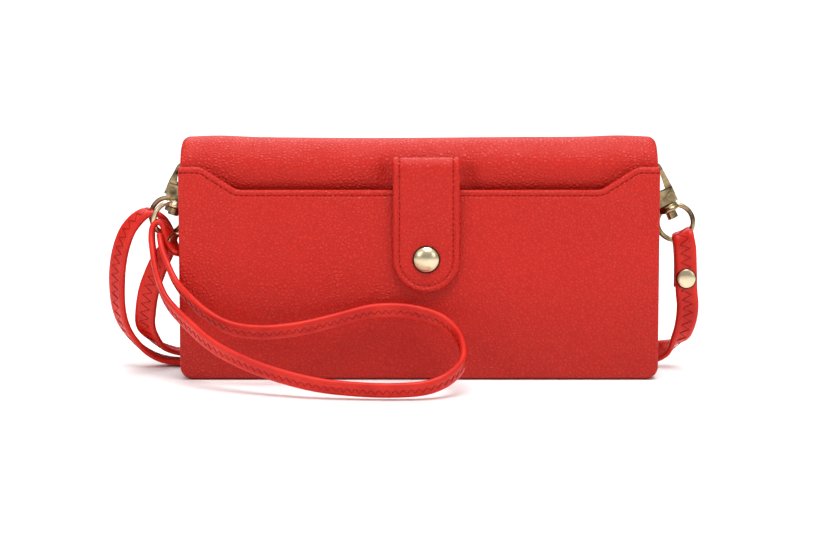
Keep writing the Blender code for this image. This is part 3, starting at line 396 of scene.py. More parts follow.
def zigzag_tree():
    """Zigzag thread: every second point of a line steps across, then the line becomes a thread."""
    tree = bpy.data.node_groups.new("zigzag_stitch", "GeometryNodeTree")
    face = tree.interface
    face.new_socket("Line", in_out="INPUT", socket_type="NodeSocketGeometry")
    face.new_socket("Swing", in_out="INPUT", socket_type="NodeSocketFloat")
    face.new_socket("Thread radius", in_out="INPUT", socket_type="NodeSocketFloat")
    face.new_socket("Stitches", in_out="OUTPUT", socket_type="NodeSocketGeometry")
    given = add_node(tree, "NodeGroupInput")
    across = add_node(tree, "GeometryNodeInputNamedAttribute", {"Name": "across"}, data_type="FLOAT_VECTOR")
    index = add_node(tree, "GeometryNodeInputIndex")
    parity = add_node(tree, "ShaderNodeMath", {0: index.outputs["Index"], 1: 2.0}, operation="MODULO")
    side = add_node(tree, "ShaderNodeMath", {0: parity.outputs[0], 1: 2.0, 2: -1.0}, operation="MULTIPLY_ADD")
    step = add_node(tree, "ShaderNodeMath", {0: side.outputs[0], 1: given.outputs["Swing"]},
                    operation="MULTIPLY")
    shift = add_node(tree, "ShaderNodeVectorMath", {0: across.outputs["Attribute"], "Scale": step.outputs[0]},
                     operation="SCALE")
    moved = add_node(tree, "GeometryNodeSetPosition",
                     {"Geometry": given.outputs["Line"], "Offset": shift.outputs["Vector"]})
    curve = add_node(tree, "GeometryNodeMeshToCurve", {"Mesh": moved.outputs["Geometry"]})
    ring = add_node(tree, "GeometryNodeCurvePrimitiveCircle",
                    {"Resolution": 6, "Radius": given.outputs["Thread radius"]})
    solid = add_node(tree, "GeometryNodeCurveToMesh",
                     {"Curve": curve.outputs["Curve"], "Profile Curve": ring.outputs["Curve"],
                      "Fill Caps": True})
    real = add_node(tree, "GeometryNodeRealizeInstances", {"Geometry": solid.outputs["Mesh"]})
    dyed = add_node(tree, "GeometryNodeSetMaterial",
                    {"Geometry": real.outputs["Geometry"], "Material": thread})
    add_node(tree, "NodeGroupOutput", {"Stitches": dyed.outputs["Geometry"]})
    return tree


def row_tree():
    """Straight stitching: short rounded threads laid end to end along a line."""
    tree = bpy.data.node_groups.new("straight_stitch", "GeometryNodeTree")
    face = tree.interface
    face.new_socket("Line", in_out="INPUT", socket_type="NodeSocketGeometry")
    face.new_socket("Pitch", in_out="INPUT", socket_type="NodeSocketFloat")
    face.new_socket("Thread radius", in_out="INPUT", socket_type="NodeSocketFloat")
    face.new_socket("Stitches", in_out="OUTPUT", socket_type="NodeSocketGeometry")
    given = add_node(tree, "NodeGroupInput")
    curve = add_node(tree, "GeometryNodeMeshToCurve", {"Mesh": given.outputs["Line"]})
    spread = add_node(tree, "GeometryNodeResampleCurve",
                      {"Curve": curve.outputs["Curve"], "Length": given.outputs["Pitch"]}, mode="LENGTH")
    run = add_node(tree, "GeometryNodeInputTangent")
    turn = add_node(tree, "FunctionNodeAlignRotationToVector", {"Vector": run.outputs["Tangent"]}, axis="Z")
    half = add_node(tree, "ShaderNodeMath", {0: given.outputs["Pitch"], 1: 0.40}, operation="MULTIPLY")
    size = add_node(tree, "ShaderNodeCombineXYZ",
                    {"X": given.outputs["Thread radius"], "Y": given.outputs["Thread radius"],
                     "Z": half.outputs[0]})
    ball = add_node(tree, "GeometryNodeMeshUVSphere", {"Segments": 6, "Rings": 5, "Radius": 1.0})
    stitch = add_node(tree, "GeometryNodeTransform",
                      {"Geometry": ball.outputs["Mesh"], "Scale": size.outputs["Vector"]})
    laid = add_node(tree, "GeometryNodeInstanceOnPoints",
                    {"Points": spread.outputs["Curve"], "Instance": stitch.outputs["Geometry"],
                     "Rotation": turn.outputs["Rotation"]})
    real = add_node(tree, "GeometryNodeRealizeInstances", {"Geometry": laid.outputs["Instances"]})
    dyed = add_node(tree, "GeometryNodeSetMaterial",
                    {"Geometry": real.outputs["Geometry"], "Material": thread})
    add_node(tree, "NodeGroupOutput", {"Stitches": dyed.outputs["Geometry"]})
    return tree


zigzag = zigzag_tree()
straight_row = row_tree()


def sew(name, tree, lines, across=None, **sizes):
    """Run a stitch tree on lines of points and keep its result as a plain mesh."""
    mesh = bpy.data.meshes.new(name + "_line")
    points = [tuple(p) for line in lines for p in line]
    edges = []
    start = 0
    for line in lines:
        edges += [(start + k, start + k + 1) for k in range(len(line) - 1)]
        start += len(line)
    mesh.from_pydata(points, edges, [])
    if across:
        field = mesh.attributes.new("across", "FLOAT_VECTOR", "POINT")
        field.data.foreach_set("vector", [c for w in across for c in w])
    guide = bpy.data.objects.new(name + "_line", mesh)
    scene.collection.objects.link(guide)
    work = guide.modifiers.new("stitches", "NODES")
    work.node_group = tree
    for item in tree.interface.items_tree:
        if item.in_out == "INPUT" and item.name in sizes:
            work[item.identifier] = sizes[item.name]
    bpy.context.view_layer.update()
    evaluated = guide.evaluated_get(bpy.context.evaluated_depsgraph_get())
    solid = bpy.data.meshes.new_from_object(evaluated)
    guide.modifiers.clear()
    bpy.data.objects.remove(guide)
    solid.name = name
    solid.shade_smooth()
    made = bpy.data.objects.new(name, solid)
    scene.collection.objects.link(made)
    return made


def sew_zigzag(name, frames, thick, swing, side):
    """Zigzag thread down the middle of one face of a strap."""
    picked = frames[1:-1]
    line = [place + face * side * (thick / 2 * FACE_SHARE + 0.05 * MM) for place, wide, face in picked]
    return sew(name, zigzag, [line], [wide for place, wide, face in picked],
               **{"Swing": swing, "Thread radius": 0.21 * MM})


crossbody_threads = [sew_zigzag("crossbody_zigzag_" + label, crossbody_frames, STRAP_THICK, 2.1 * MM, side)
                     for label, side in (("outer", 1), ("inner", -1))]
for piece in [crossbody, *crossbody_threads]:
    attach(piece, "root")
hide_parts("crossbody_strap_end", "crossbody_strap_right", "crossbody_strap_left",
            "crossbody_strap_return", "crossbody_strap_link", "crossbody_hank")


# Wrist strap: the same leather 7.5 mm wide, a loop that stands on its lower edge in front of
# the wallet. One end is folded over its clasp's eye and held by a rivet through the layers.
WRIST_WIDE = 7.5 * MM
WRIST_THICK = 2.6 * MM
TILT = (0, -0.56, 0.83)
wrist_stations = [
    ((-0.1006, -0.0060, 0.0522), (-0.2, -0.95, 0.2)),
    ((-0.1022, -0.0052, 0.0532), (-0.45, -0.88, 0.1)),
    ((-0.1042, -0.0044, 0.0564), (-0.55, -0.83, 0)),
    ((-0.1056, -0.0030, 0.0602), (-0.50, -0.87, 0)),
    ((-0.1073, -0.0012, 0.0640), (-0.15, -1, 0)),
    ((-0.1100, -0.0008, 0.0655), (0, -1, 0)),
    ((-0.1122, -0.0016, 0.0634), (0, -1, 0)),
    ((-0.1126, -0.0034, 0.0590), (0, -1, 0)),
    ((-0.1120, -0.0062, 0.0545), (0, -1, 0.1)),
    ((-0.1108, -0.0100, 0.0480), (0, -0.95, 0.3)),
    ((-0.1082, -0.0145, 0.0395), (0, -0.85, 0.5)),
    ((-0.1040, -0.0190, 0.0325), (0, -0.7, 0.7)),
    ((-0.0950, -0.0280, 0.0250), TILT),
    ((-0.0860, -0.0365, 0.0190), TILT),
    ((-0.0760, -0.0430, 0.0145), TILT),
    ((-0.0620, -0.0500, 0.0100), TILT),
    ((-0.0440, -0.0560, 0.0062), TILT),
    ((-0.0280, -0.0585, 0.0046), TILT),
    ((-0.0120, -0.0600, 0.0042), TILT),
    ((0.0020, -0.0590, 0.0050), TILT),
    ((0.0110, -0.0550, 0.0076), TILT),
    ((0.0170, -0.0480, 0.0119), TILT),
    ((0.0182, -0.0410, 0.0165), TILT),
    ((0.0160, -0.0330, 0.0220), TILT),
    ((0.0100, -0.0265, 0.0268), TILT),
    ((0.0020, -0.0230, 0.0294), TILT),
    ((-0.0080, -0.0215, 0.0308), TILT),
    ((-0.0200, -0.0216, 0.0304), TILT),
    ((-0.0350, -0.0240, 0.0270), TILT),
    ((-0.0500, -0.0270, 0.0240), TILT),
    ((-0.0650, -0.0285, 0.0228), TILT),
    ((-0.0780, -0.0270, 0.0242), TILT),
    ((-0.0880, -0.0240, 0.0290), (0, -0.65, 0.76)),
    ((-0.0960, -0.0210, 0.0360), (0, -0.75, 0.65)),
    ((-0.1015, -0.0190, 0.0425), (0, -0.85, 0.5)),
    ((-0.1056, -0.0135, 0.0500), (0, -0.95, 0.3)),
    ((-0.1078, -0.0085, 0.0552), (0, -1, 0.1)),
    ((-0.1088, -0.0050, 0.0592), (0, -1, 0)),
]
wrist_route = smooth_route(wrist_stations, 1.6 * MM)
wrist_frames = strap_frames(wrist_route)
wrist = sweep(wrist_frames, strap_profile(WRIST_WIDE, WRIST_THICK, STRAP_BEAD), strap_red,
              "wrist_strap_leather")
wrist_threads = [sew_zigzag("wrist_zigzag_" + label, wrist_frames, WRIST_THICK, 1.3 * MM, side)
                 for label, side in (("outer", 1), ("inner", -1))]
for piece in [wrist, *wrist_threads]:
    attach(piece, "wristlet")


# Hardware: die-cast clasps, D-rings, rivets and slide in brass, plated dark and rubbed back
# so that the high spots are pale gold and the hollows stay brown.
LATHE_STEPS = 48


def lathe(name, profile, place, look):
    """A turned solid: (radius, height) profile from the axis to the axis."""
    verts = []
    faces = []
    for k in range(LATHE_STEPS):
        turn = 2 * math.pi * k / LATHE_STEPS
        for radius, height in profile:
            verts.append(place @ Vector((radius * math.cos(turn), radius * math.sin(turn), height)))
    count = len(profile)
    for k in range(LATHE_STEPS):
        n = (k + 1) % LATHE_STEPS
        for j in range(count - 1):
            faces.append((k * count + j, n * count + j, n * count + j + 1, k * count + j + 1))
    made = link_mesh(name, verts, faces, look)
    square_up(made)
    return made


def facing(direction, origin):
    """A frame whose Z axis points along a direction."""
    turn = Vector(direction).to_track_quat("Z", "Y").to_matrix().to_4x4()
    return Matrix.Translation(Vector(origin)) @ turn


def brass(name, dark, pale, roughness, patch):
    """Antiqued brass: patches of brown plating over pale metal, with fine polishing marks."""
    look, tree, shader = new_material(name)
    spot = add_node(tree, "ShaderNodeTexCoord")
    cloud = add_node(tree, "ShaderNodeTexNoise",
                     {"Vector": spot.outputs["Object"], "Scale": 1 / patch, "Detail": 4.0, "Roughness": 0.6})
    tone = add_node(tree, "ShaderNodeValToRGB", {"Fac": cloud.outputs["Fac"]})
    tone.color_ramp.elements[0].position = 0.30
    tone.color_ramp.elements[0].color = linear(dark)
    tone.color_ramp.elements[1].position = 0.60
    tone.color_ramp.elements[1].color = linear(pale)
    tree.links.new(tone.outputs["Color"], shader.inputs["Base Color"])
    gloss = add_node(tree, "ShaderNodeMapRange", {"Value": cloud.outputs["Fac"], "To Min": roughness + 0.12,
                                                  "To Max": roughness})
    tree.links.new(gloss.outputs["Result"], shader.inputs["Roughness"])
    # Polishing marks about 0.15 mm apart.
    marks = add_node(tree, "ShaderNodeTexNoise", {"Vector": spot.outputs["Object"], "Scale": 1 / 0.00015})
    bump = add_node(tree, "ShaderNodeBump",
                    {"Height": marks.outputs["Fac"], "Strength": 0.12, "Distance": 0.00003})
    tree.links.new(bump.outputs["Normal"], shader.inputs["Normal"])
    shader.inputs["Metallic"].default_value = 1.0
    return look


antique_brass = brass("antique_brass", "#4c3f30", "#b39d77", 0.24, 0.0040)
# Pale brass: the own colour of the rivet and snap caps, and a painted highlight on the wrist eye.
pale_brass_and_highlight = brass("pale_brass_and_highlight", "#cdbb93", "#e6d8b6", 0.24, 0.008)
# Near-black brass for the caps' rims: painted shadow of the gap round each cap.
rim_shadow_paint = brass("brass_painted_rim_shadow", "#1f1712", "#4a3a28", 0.30, 0.004)
zip_metal = brass("zip_brass", "#8a6f42", "#c9ab6e", 0.30, 0.002)
magnet_steel = brass("plated_steel", "#c4c4c8", "#e8e8ea", 0.34, 0.004)


def dress(look, *nodes):
    """Give carried-over nodes their finished material."""
    for node in nodes:
        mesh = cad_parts[node].data
        mesh.materials.clear()
        mesh.materials.append(look)


def rivet_head(name, centre, out, radius, height):
    """A domed rivet cap with a rolled rim painted dark as the shadow of the gap round it, seated on a face.
    """
    profile = [(0.0, -0.3 * MM), (radius, -0.3 * MM), (radius * 1.04, 0.0), (radius * 1.04, 0.16 * MM),
               (radius, 0.30 * MM), (radius * 0.95, 0.26 * MM), (radius * 0.94, 0.40 * MM)]
    rim_top = 0.42 * MM
    full = math.radians(62)
    for angle in range(60, -1, -6):
        turn = math.radians(angle)
        share = (math.cos(turn) - math.cos(full)) / (1 - math.cos(full))
        reach = radius * 0.93 * math.sin(turn) / math.sin(full)
        profile.append((reach, rim_top + (height - rim_top) * share))
    made = lathe(name, profile, facing(out, centre), pale_brass_and_highlight)
    # Faces out at the rim take the dark brass, a painted shadow of the gap round the cap.
    made.data.materials.append(rim_shadow_paint)
    axis = Vector(out).normalized()
    for face in made.data.polygons:
        reach = Vector(face.center) - Vector(centre)
        if (reach - axis * reach.dot(axis)).length > 0.935 * radius:
            face.material_index = 1
    return made


strap_rivet_low, strap_rivet_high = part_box("crossbody_rivet")
rivet_centre = [(a + b) / 2 for a, b in zip(strap_rivet_low, strap_rivet_high)]
rivet_radius = (strap_rivet_high[0] - strap_rivet_low[0]) / 2
front_rivet = rivet_head("crossbody_rivet_front", (0.1135, 0.0040, rivet_centre[2]), (0, -1, 0),
                         rivet_radius, 1.1 * MM)
back_rivet = rivet_head("crossbody_rivet_back", (0.1133, 0.0093, rivet_centre[2]), (0, 1, 0),
                        rivet_radius, 1.5 * MM)
for piece in (front_rivet, back_rivet):
    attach(piece, "root")
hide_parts("crossbody_rivet")
tail_rivet = rivet_head("wrist_rivet_cap", (-0.1039, -0.0044, 0.0580), (0.76, -0.52, -0.38),
                        3.2 * MM, 1.3 * MM)
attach(tail_rivet, "wristlet")
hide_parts("wrist_rivet")


# Sizes along a clasp, from the bend of its hook down: the hook hangs in the D-ring at HOOK_X.
HOOK_X = 98.5 * MM
HOOK_Z = 86.1 * MM
COLLAR_TALL = 3.1 * MM
COLLAR_LOW = -19.0 * MM
EYE_CENTRE = -24.2 * MM
EYE_REACH = 7.5 * MM
EYE_WIRE = 1.05 * MM
EYE_STEPS = 72
WIRE_STEPS = 16
COLLAR_STEPS = 48


def clasp_frame(side, lean, depth):
    """Frame of a clasp: Z up along its post, X towards its gate, origin in the hook's bend."""
    up = Vector((-side * math.sin(lean), 0, math.cos(lean)))
    ahead = Vector((0, side, 0))
    turned = Matrix((ahead.cross(up), ahead, up)).transposed().to_4x4()
    return Matrix.Translation(Vector((side * HOOK_X, depth, HOOK_Z))) @ turned


def smooth_eye(label, side, lean, depth, shortening, collar, turn, look):
    """Round eye of 2 mm wire, cast in one with a waisted collar that turns on the hook's post."""
    place = clasp_frame(side, lean, depth) @ Matrix.Rotation(turn, 4, "Z")
    centre_z = EYE_CENTRE + shortening
    verts = []
    faces = []
    for i in range(EYE_STEPS):
        around = 2 * math.pi * i / EYE_STEPS
        for k in range(WIRE_STEPS):
            about = 2 * math.pi * k / WIRE_STEPS
            far = EYE_REACH + EYE_WIRE * math.cos(about)
            verts.append(place @ Vector((far * math.cos(around), EYE_WIRE * math.sin(about),
                                         centre_z + far * math.sin(around))))
            here, ahead = i * WIRE_STEPS, (i + 1) % EYE_STEPS * WIRE_STEPS
            beside = (k + 1) % WIRE_STEPS
            faces.append((here + k, ahead + k, ahead + beside, here + beside))
    low = COLLAR_LOW + shortening
    outline = [(0.0, 0.0), (0.72, 0.0), (0.94, 0.12), (1.0, 0.3), (1.0, 0.5), (0.94, 0.62), (0.84, 0.68),
               (0.82, 0.80), (0.90, 0.88), (0.88, 0.98), (0.80, 1.0), (0.0, 1.0)]
    start = len(verts)
    for i in range(COLLAR_STEPS):
        around = 2 * math.pi * i / COLLAR_STEPS
        for share, height in outline:
            reach = collar * share
            verts.append(place @ Vector((reach * math.cos(around), reach * math.sin(around),
                                         low + COLLAR_TALL * height)))
        here = start + i * len(outline)
        ahead = start + (i + 1) % COLLAR_STEPS * len(outline)
        for k in range(len(outline) - 1):
            faces.append((here + k, ahead + k, ahead + k + 1, here + k + 1))
    made = link_mesh("eye_" + label + "_cast", verts, faces, look)
    square_up(made)
    return made


# Side, lean, depth, shortening, collar radius and turn of each eye, its finish (a painted highlight for the
# wrist eye) and its body.
EYES = (
    ("right", 1, 25.0, 6.5 * MM, 0.0, 4.4 * MM, 0.0, antique_brass, "root"),
    ("left", -1, 23.4, 6.5 * MM, 3.5 * MM, 3.0 * MM, -20.0, antique_brass, "root"),
    # The wrist eye has the same antique finish as the others; its pale brass is a painted highlight, as it
    # stands lit in front of the left eye, which is in shade.
    ("wrist", -1, 17.0, 0.2 * MM, 3.5 * MM, 3.0 * MM, 20.0, pale_brass_and_highlight, "wristlet"),
)
for label, side, lean, depth, shortening, collar, turn, look, body in EYES:
    eye = smooth_eye(label, side, math.radians(lean), depth, shortening, collar, math.radians(turn), look)
    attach(eye, body)
    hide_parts("eye_" + label)
for label in ("left", "right", "wrist"):
    dress(antique_brass, "hook_" + label, "gate_" + label, "gate_pin_" + label)
dress(antique_brass, "d_ring_left", "d_ring_right", "slide_buckle", "snap_stud", "snap_socket")

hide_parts("wrist_strap")


# Front panel: one piece of pebbled calf leather, sewn in a row just below its top edge, with
# its sides and base turned back as the walls of the phone pocket.
def grained_leather():
    """Shrunken calf leather: pebbles of about 1.5 mm with fine creases between them; painted shade darkens
    the creases and the lower part.
    """
    look, tree, shader = new_material("pebbled_leather")
    spot = add_node(tree, "ShaderNodeTexCoord")
    wander = add_node(tree, "ShaderNodeTexNoise",
                      {"Vector": spot.outputs["Object"], "Scale": 1 / 0.004, "Detail": 1.0})
    drift = add_node(tree, "ShaderNodeVectorMath",
                     {0: wander.outputs["Color"], 1: (0.0006, 0.0006, 0.0006)}, operation="MULTIPLY")
    bent = add_node(tree, "ShaderNodeVectorMath", {0: spot.outputs["Object"], 1: drift.outputs["Vector"]},
                    operation="ADD")
    # Pebbles of about 1.5 mm with creases 0.2 mm wide, and a fine grain of 0.5 mm on them.
    pebble = add_node(tree, "ShaderNodeTexVoronoi",
                      {"Vector": bent.outputs["Vector"], "Scale": 1 / 0.0015, "Randomness": 1.0},
                      feature="DISTANCE_TO_EDGE")
    crown = add_node(tree, "ShaderNodeMapRange", {"Value": pebble.outputs["Distance"], "From Min": 0.0,
                                                  "From Max": 0.42}, interpolation_type="SMOOTHSTEP")
    fine = add_node(tree, "ShaderNodeTexNoise", {"Vector": spot.outputs["Object"], "Scale": 1 / 0.0005})
    # The pebbles are taller in some places than in others, over 20 mm or so.
    patch = add_node(tree, "ShaderNodeTexNoise", {"Vector": spot.outputs["Object"], "Scale": 1 / 0.020})
    rise = add_node(tree, "ShaderNodeMapRange", {"Value": patch.outputs["Fac"], "From Min": 0.35,
                                                 "From Max": 0.65, "To Min": 0.50, "To Max": 1.0})
    tall = add_node(tree, "ShaderNodeMath", {0: crown.outputs["Result"], 1: rise.outputs["Result"]},
                    operation="MULTIPLY")
    height = add_node(tree, "ShaderNodeMath", {0: fine.outputs["Fac"], 1: 0.30, 2: tall.outputs[0]},
                      operation="MULTIPLY_ADD")
    bump = add_node(tree, "ShaderNodeBump", {"Height": height.outputs[0], "Strength": 0.9,
                                             "Distance": 0.00030})
    tree.links.new(bump.outputs["Normal"], shader.inputs["Normal"])
    # Painted shade: the colour is darker in the creases between the pebbles and lighter on their crowns.
    tone = add_node(tree, "ShaderNodeValToRGB", {"Fac": crown.outputs["Result"]})
    tone.color_ramp.elements[0].position = 0.0
    tone.color_ramp.elements[0].color = linear("#b8180c")
    tone.color_ramp.elements[1].position = 0.45
    tone.color_ramp.elements[1].color = linear("#c72112")
    cloud = add_node(tree, "ShaderNodeTexNoise",
                     {"Vector": spot.outputs["Object"], "Scale": 1 / 0.045, "Detail": 2.0})
    shade = add_node(tree, "ShaderNodeMapRange", {"Value": cloud.outputs["Fac"], "To Min": 0.95,
                                                  "To Max": 1.05})
    # Painted shade: the colour is darkened towards the base, where less light falls.
    up = add_node(tree, "ShaderNodeSeparateXYZ", {"Vector": spot.outputs["Object"]})
    depth = add_node(tree, "ShaderNodeMapRange",
                     {"Value": up.outputs["Z"], "From Min": 0.0, "From Max": 0.055,
                      "To Min": 0.80, "To Max": 1.0}, interpolation_type="SMOOTHSTEP")
    tone_and_base_shade = add_node(tree, "ShaderNodeMath", {0: shade.outputs["Result"], 1: depth.outputs["Result"]},
                    operation="MULTIPLY")
    mixed = add_node(tree, "ShaderNodeVectorMath", {0: tone.outputs["Color"], "Scale": tone_and_base_shade.outputs[0]},
                     operation="SCALE")
    tree.links.new(mixed.outputs["Vector"], shader.inputs["Base Color"])
    gloss = add_node(tree, "ShaderNodeMapRange", {"Value": crown.outputs["Result"], "To Min": 0.55,
                                                  "To Max": 0.33})
    tree.links.new(gloss.outputs["Result"], shader.inputs["Roughness"])
    shader.inputs["Specular IOR Level"].default_value = 0.30
    return look


pebbled = grained_leather()
EDGE_STEPS = (0.0, 0.05 * MM, 0.16 * MM, 0.34 * MM, 0.58 * MM, 0.9 * MM)


def leaf(name, us, vs, place, thick, look, edge=0.9 * MM):
    """A leather piece with round edges; place gives a point, its normal, edge distance and relief."""
    front = []
    back = []
    for u in us:
        for v in vs:
            spot, out, distance, relief = place(u, v)
            near = 1 - min(max(distance, 0.0) / edge, 1.0)
            half = thick / 2 * math.sqrt(max(0.0, 1 - near * near))
            front.append(spot + out * (half + relief * (half / (thick / 2))))
            back.append(spot - out * half)
    rows = len(vs)
    total = len(front)
    faces = []
    for i in range(len(us) - 1):
        for j in range(rows - 1):
            a, b, c, d = i * rows + j, (i + 1) * rows + j, (i + 1) * rows + j + 1, i * rows + j + 1
            faces.append((a, b, c, d))
            faces.append((total + d, total + c, total + b, total + a))
    made = link_mesh(name, front + back, faces, look)
    square_up(made)
    return made


def spread(low, high, step, ends=EDGE_STEPS):
    """Positions from low to high: close together at both ends, even between."""
    inner_low, inner_high = low + ends[-1], high - ends[-1]
    count = max(2, round((inner_high - inner_low) / step))
    middle = [inner_low + (inner_high - inner_low) * k / count for k in range(1, count)]
    return [low + e for e in ends] + middle + [high - e for e in reversed(ends)]


panel_low, panel_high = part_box("front_panel")
PANEL_WALL = 2.0 * MM
PANEL_HALF = panel_high[0]
PANEL_END_TOP = panel_high[2]
PANEL_MID_TOP = 80.5 * MM
STEP_HIGH_X = PANEL_HALF - 9.5 * MM
STEP_LOW_X = STEP_HIGH_X - 15.0 * MM
CORNER = 6.0 * MM
SEAM_DROP = 2.4 * MM


def panel_top(x):
    """Height of the panel's top edge: high at both ends, with a sloped step down to the middle."""
    reach = abs(x)
    soft = 1.6 * MM
    total = 0.0
    for k in range(-3, 4):
        at = min(max((reach + soft * k / 3 - STEP_LOW_X) / (STEP_HIGH_X - STEP_LOW_X), 0.0), 1.0)
        total += at
    return PANEL_MID_TOP + (PANEL_END_TOP - PANEL_MID_TOP) * total / 7


def panel_slope(x):
    """Length of the panel's top edge for each length across it."""
    return math.hypot(1.0, (panel_top(x + 0.1 * MM) - panel_top(x - 0.1 * MM)) / (0.2 * MM))


def panel_place(x, v):
    """A point of the panel; v is a share of the height and an offset from it."""
    share, offset = v
    beyond = max(0.0, abs(x) - (PANEL_HALF - CORNER))
    low = CORNER - math.sqrt(max(0.0, CORNER ** 2 - beyond ** 2))
    top = panel_top(x)
    z = low + share * (top - low) + offset * (panel_slope(x) if share == 1.0 else 1.0)
    to_top = (top - z) / panel_slope(x)
    distance = min(PANEL_HALF - abs(x), to_top, z)
    if beyond > 0 and z < CORNER:
        distance = min(distance, CORNER - math.hypot(beyond, CORNER - z))
    belly = max(0.0, (1 - (x / PANEL_HALF) ** 2)) * max(0.0, math.sin(math.pi * min(1, z / top)))
    groove = -0.38 * MM * math.exp(-((to_top - SEAM_DROP) / (0.42 * MM)) ** 2)
    band = 0.16 * MM * math.exp(-((to_top - 1.2 * MM) / (0.7 * MM)) ** 2)
    turn_under = 3.0 * MM - math.sqrt(max(0.0, 9 * MM * MM - max(0.0, 3.0 * MM - z) ** 2))
    y = panel_low[1] + PANEL_WALL / 2 + 0.3 * MM - 0.9 * MM * belly + 0.8 * turn_under
    return Vector((x, y, z)), Vector((0, -1, 0)), distance, groove + band


panel_us = []
for side in (-1, 1):
    ends = [PANEL_HALF - e for e in EDGE_STEPS]
    ends += [PANEL_HALF - CORNER + CORNER * math.sin(math.radians(a)) for a in (50, 38, 26, 13, 0)]
    panel_us += [side * e for e in ends]
inner = PANEL_HALF - CORNER
panel_us += [-inner + 2 * inner * k / 150 for k in range(1, 150)]
panel_us = sorted(set(panel_us))
top_steps = [*EDGE_STEPS, 1.2 * MM, 1.5 * MM, 1.8 * MM, 2.0 * MM, 2.2 * MM, 2.4 * MM, 2.6 * MM, 2.8 * MM,
             3.1 * MM, 3.6 * MM]
panel_vs = [(0.0, e) for e in (*EDGE_STEPS, 1.3 * MM, 1.8 * MM, 2.4 * MM, 3.0 * MM)]
panel_vs += [(k / 40, 0.0) for k in range(2, 38)]
panel_vs += [(1.0, -e) for e in reversed(top_steps)]
front_leather = leaf("front_panel_leather", panel_us, panel_vs, panel_place, PANEL_WALL, pebbled)
seam_line = []
for k in range(401):
    x = -PANEL_HALF + 1.0 * MM + 2 * (PANEL_HALF - 1.0 * MM) * k / 400
    spot, out, _, relief = panel_place(x, (1.0, -SEAM_DROP))
    seam_line.append(spot + out * (PANEL_WALL / 2 + relief + 0.04 * MM))
SEAM_THREAD = {"Pitch": 2.3 * MM, "Thread radius": 0.26 * MM}
panel_seam = sew("front_panel_seam", straight_row, [seam_line], **SEAM_THREAD)

LIP_BACK = panel_high[1]
lip_top = panel_high[2] - 18.0 * MM
lip_path = [(-PANEL_HALF + 1.0 * MM, lip_top)]
lip_path += [(-PANEL_HALF + 1.0 * MM, lip_top * (1 - k / 12) + CORNER * k / 12) for k in range(1, 12)]
for k in range(9):
    turn = math.radians(180 + 90 * k / 8)
    lip_path.append((-PANEL_HALF + CORNER + (CORNER - MM) * math.cos(turn),
                     CORNER + (CORNER - MM) * math.sin(turn)))
lip_path += [(-inner + 2 * inner * k / 30, MM) for k in range(1, 30)]
lip_path += [(-x, z) for x, z in reversed(lip_path[:21])]


def lip_place(k, y):
    """A point of the pocket's side and base walls: a place round the panel, and a depth."""
    x, z = lip_path[k]
    ahead = lip_path[min(k + 1, len(lip_path) - 1)]
    behind = lip_path[max(k - 1, 0)]
    out = Vector((ahead[1] - behind[1], 0, behind[0] - ahead[0])).normalized()
    end = min(math.dist(lip_path[k], lip_path[0]), math.dist(lip_path[k], lip_path[-1]))
    return Vector((x, y, z)), out, min(end, LIP_BACK - y), 0.0


lip_rows = [panel_low[1] + 1.6 * MM, -0.0110, -0.0090, -0.0070] + [LIP_BACK - e for e in reversed(EDGE_STEPS)]
pocket_walls = leaf("phone_pocket_walls", list(range(len(lip_path))), lip_rows, lip_place, PANEL_WALL,
                    pebbled)
for piece in (front_leather, panel_seam, pocket_walls):
    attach(piece, "root")
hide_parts("front_panel")


# Body: one long piece of the same leather makes the front wall, the rounded top and the flap
# that hangs down the back; a second, U-shaped piece makes the base and the back wall.
shell_low, shell_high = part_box("body_shell")
flap_low, flap_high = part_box("back_flap")
BODY_HALF = shell_high[0]
WRAP_HALF = BODY_HALF + 0.9 * MM
BODY_WALL = 2.0 * MM
WALL_Y = -4.0 * MM
ROLL_FRONT_Y = shell_low[1] + BODY_WALL / 2
FLAP_Y = flap_high[1] - 0.85 * MM
ROLL_Y = FLAP_Y - 10.5 * MM
ROLL_Z = 88.0 * MM
ROLL_RISE = 12.0 * MM
FLAP_END = flap_low[2]
FLAP_CORNER = 10.0 * MM
ROLL_END_CORNER = 4.0 * MM
TAB_X = 3.0 * MM
# Middle, width and depth of the two hollows that the tab's edges press into the roll.
TAB_DENTS = ((TAB_X - 16.5 * MM, 3.2 * MM, 1.7 * MM), (TAB_X + 17.0 * MM, 3.4 * MM, 1.5 * MM))


def wrap_line():
    """Middle line of the long piece from the front wall over the top and down the back."""
    line = [(WALL_Y, 66.0 * MM), (WALL_Y, 69.0 * MM)]
    for k in range(13):
        ease = (1 - math.cos(math.pi * k / 12)) / 2
        line.append((WALL_Y + (ROLL_FRONT_Y - WALL_Y) * ease, ROLL_Z - 4.0 * MM - 15.0 * MM * (1 - k / 12)))
    for k in range(1, 40):
        turn = math.radians(180 - 180 * k / 40)
        reach = ROLL_Y - ROLL_FRONT_Y if math.cos(turn) < 0 else FLAP_Y - ROLL_Y
        line.append((ROLL_Y + reach * math.cos(turn), ROLL_Z + ROLL_RISE * math.sin(turn)))
    count = 30
    for k in range(count + 1):
        line.append((FLAP_Y, ROLL_Z + (FLAP_END + 2 * MM - ROLL_Z) * k / count))
    for drop in (1.2 * MM, 0.9 * MM, 0.58 * MM, 0.34 * MM, 0.16 * MM, 0.05 * MM, 0.0):
        line.append((FLAP_Y, FLAP_END + drop))
    return line


wrap = wrap_line()


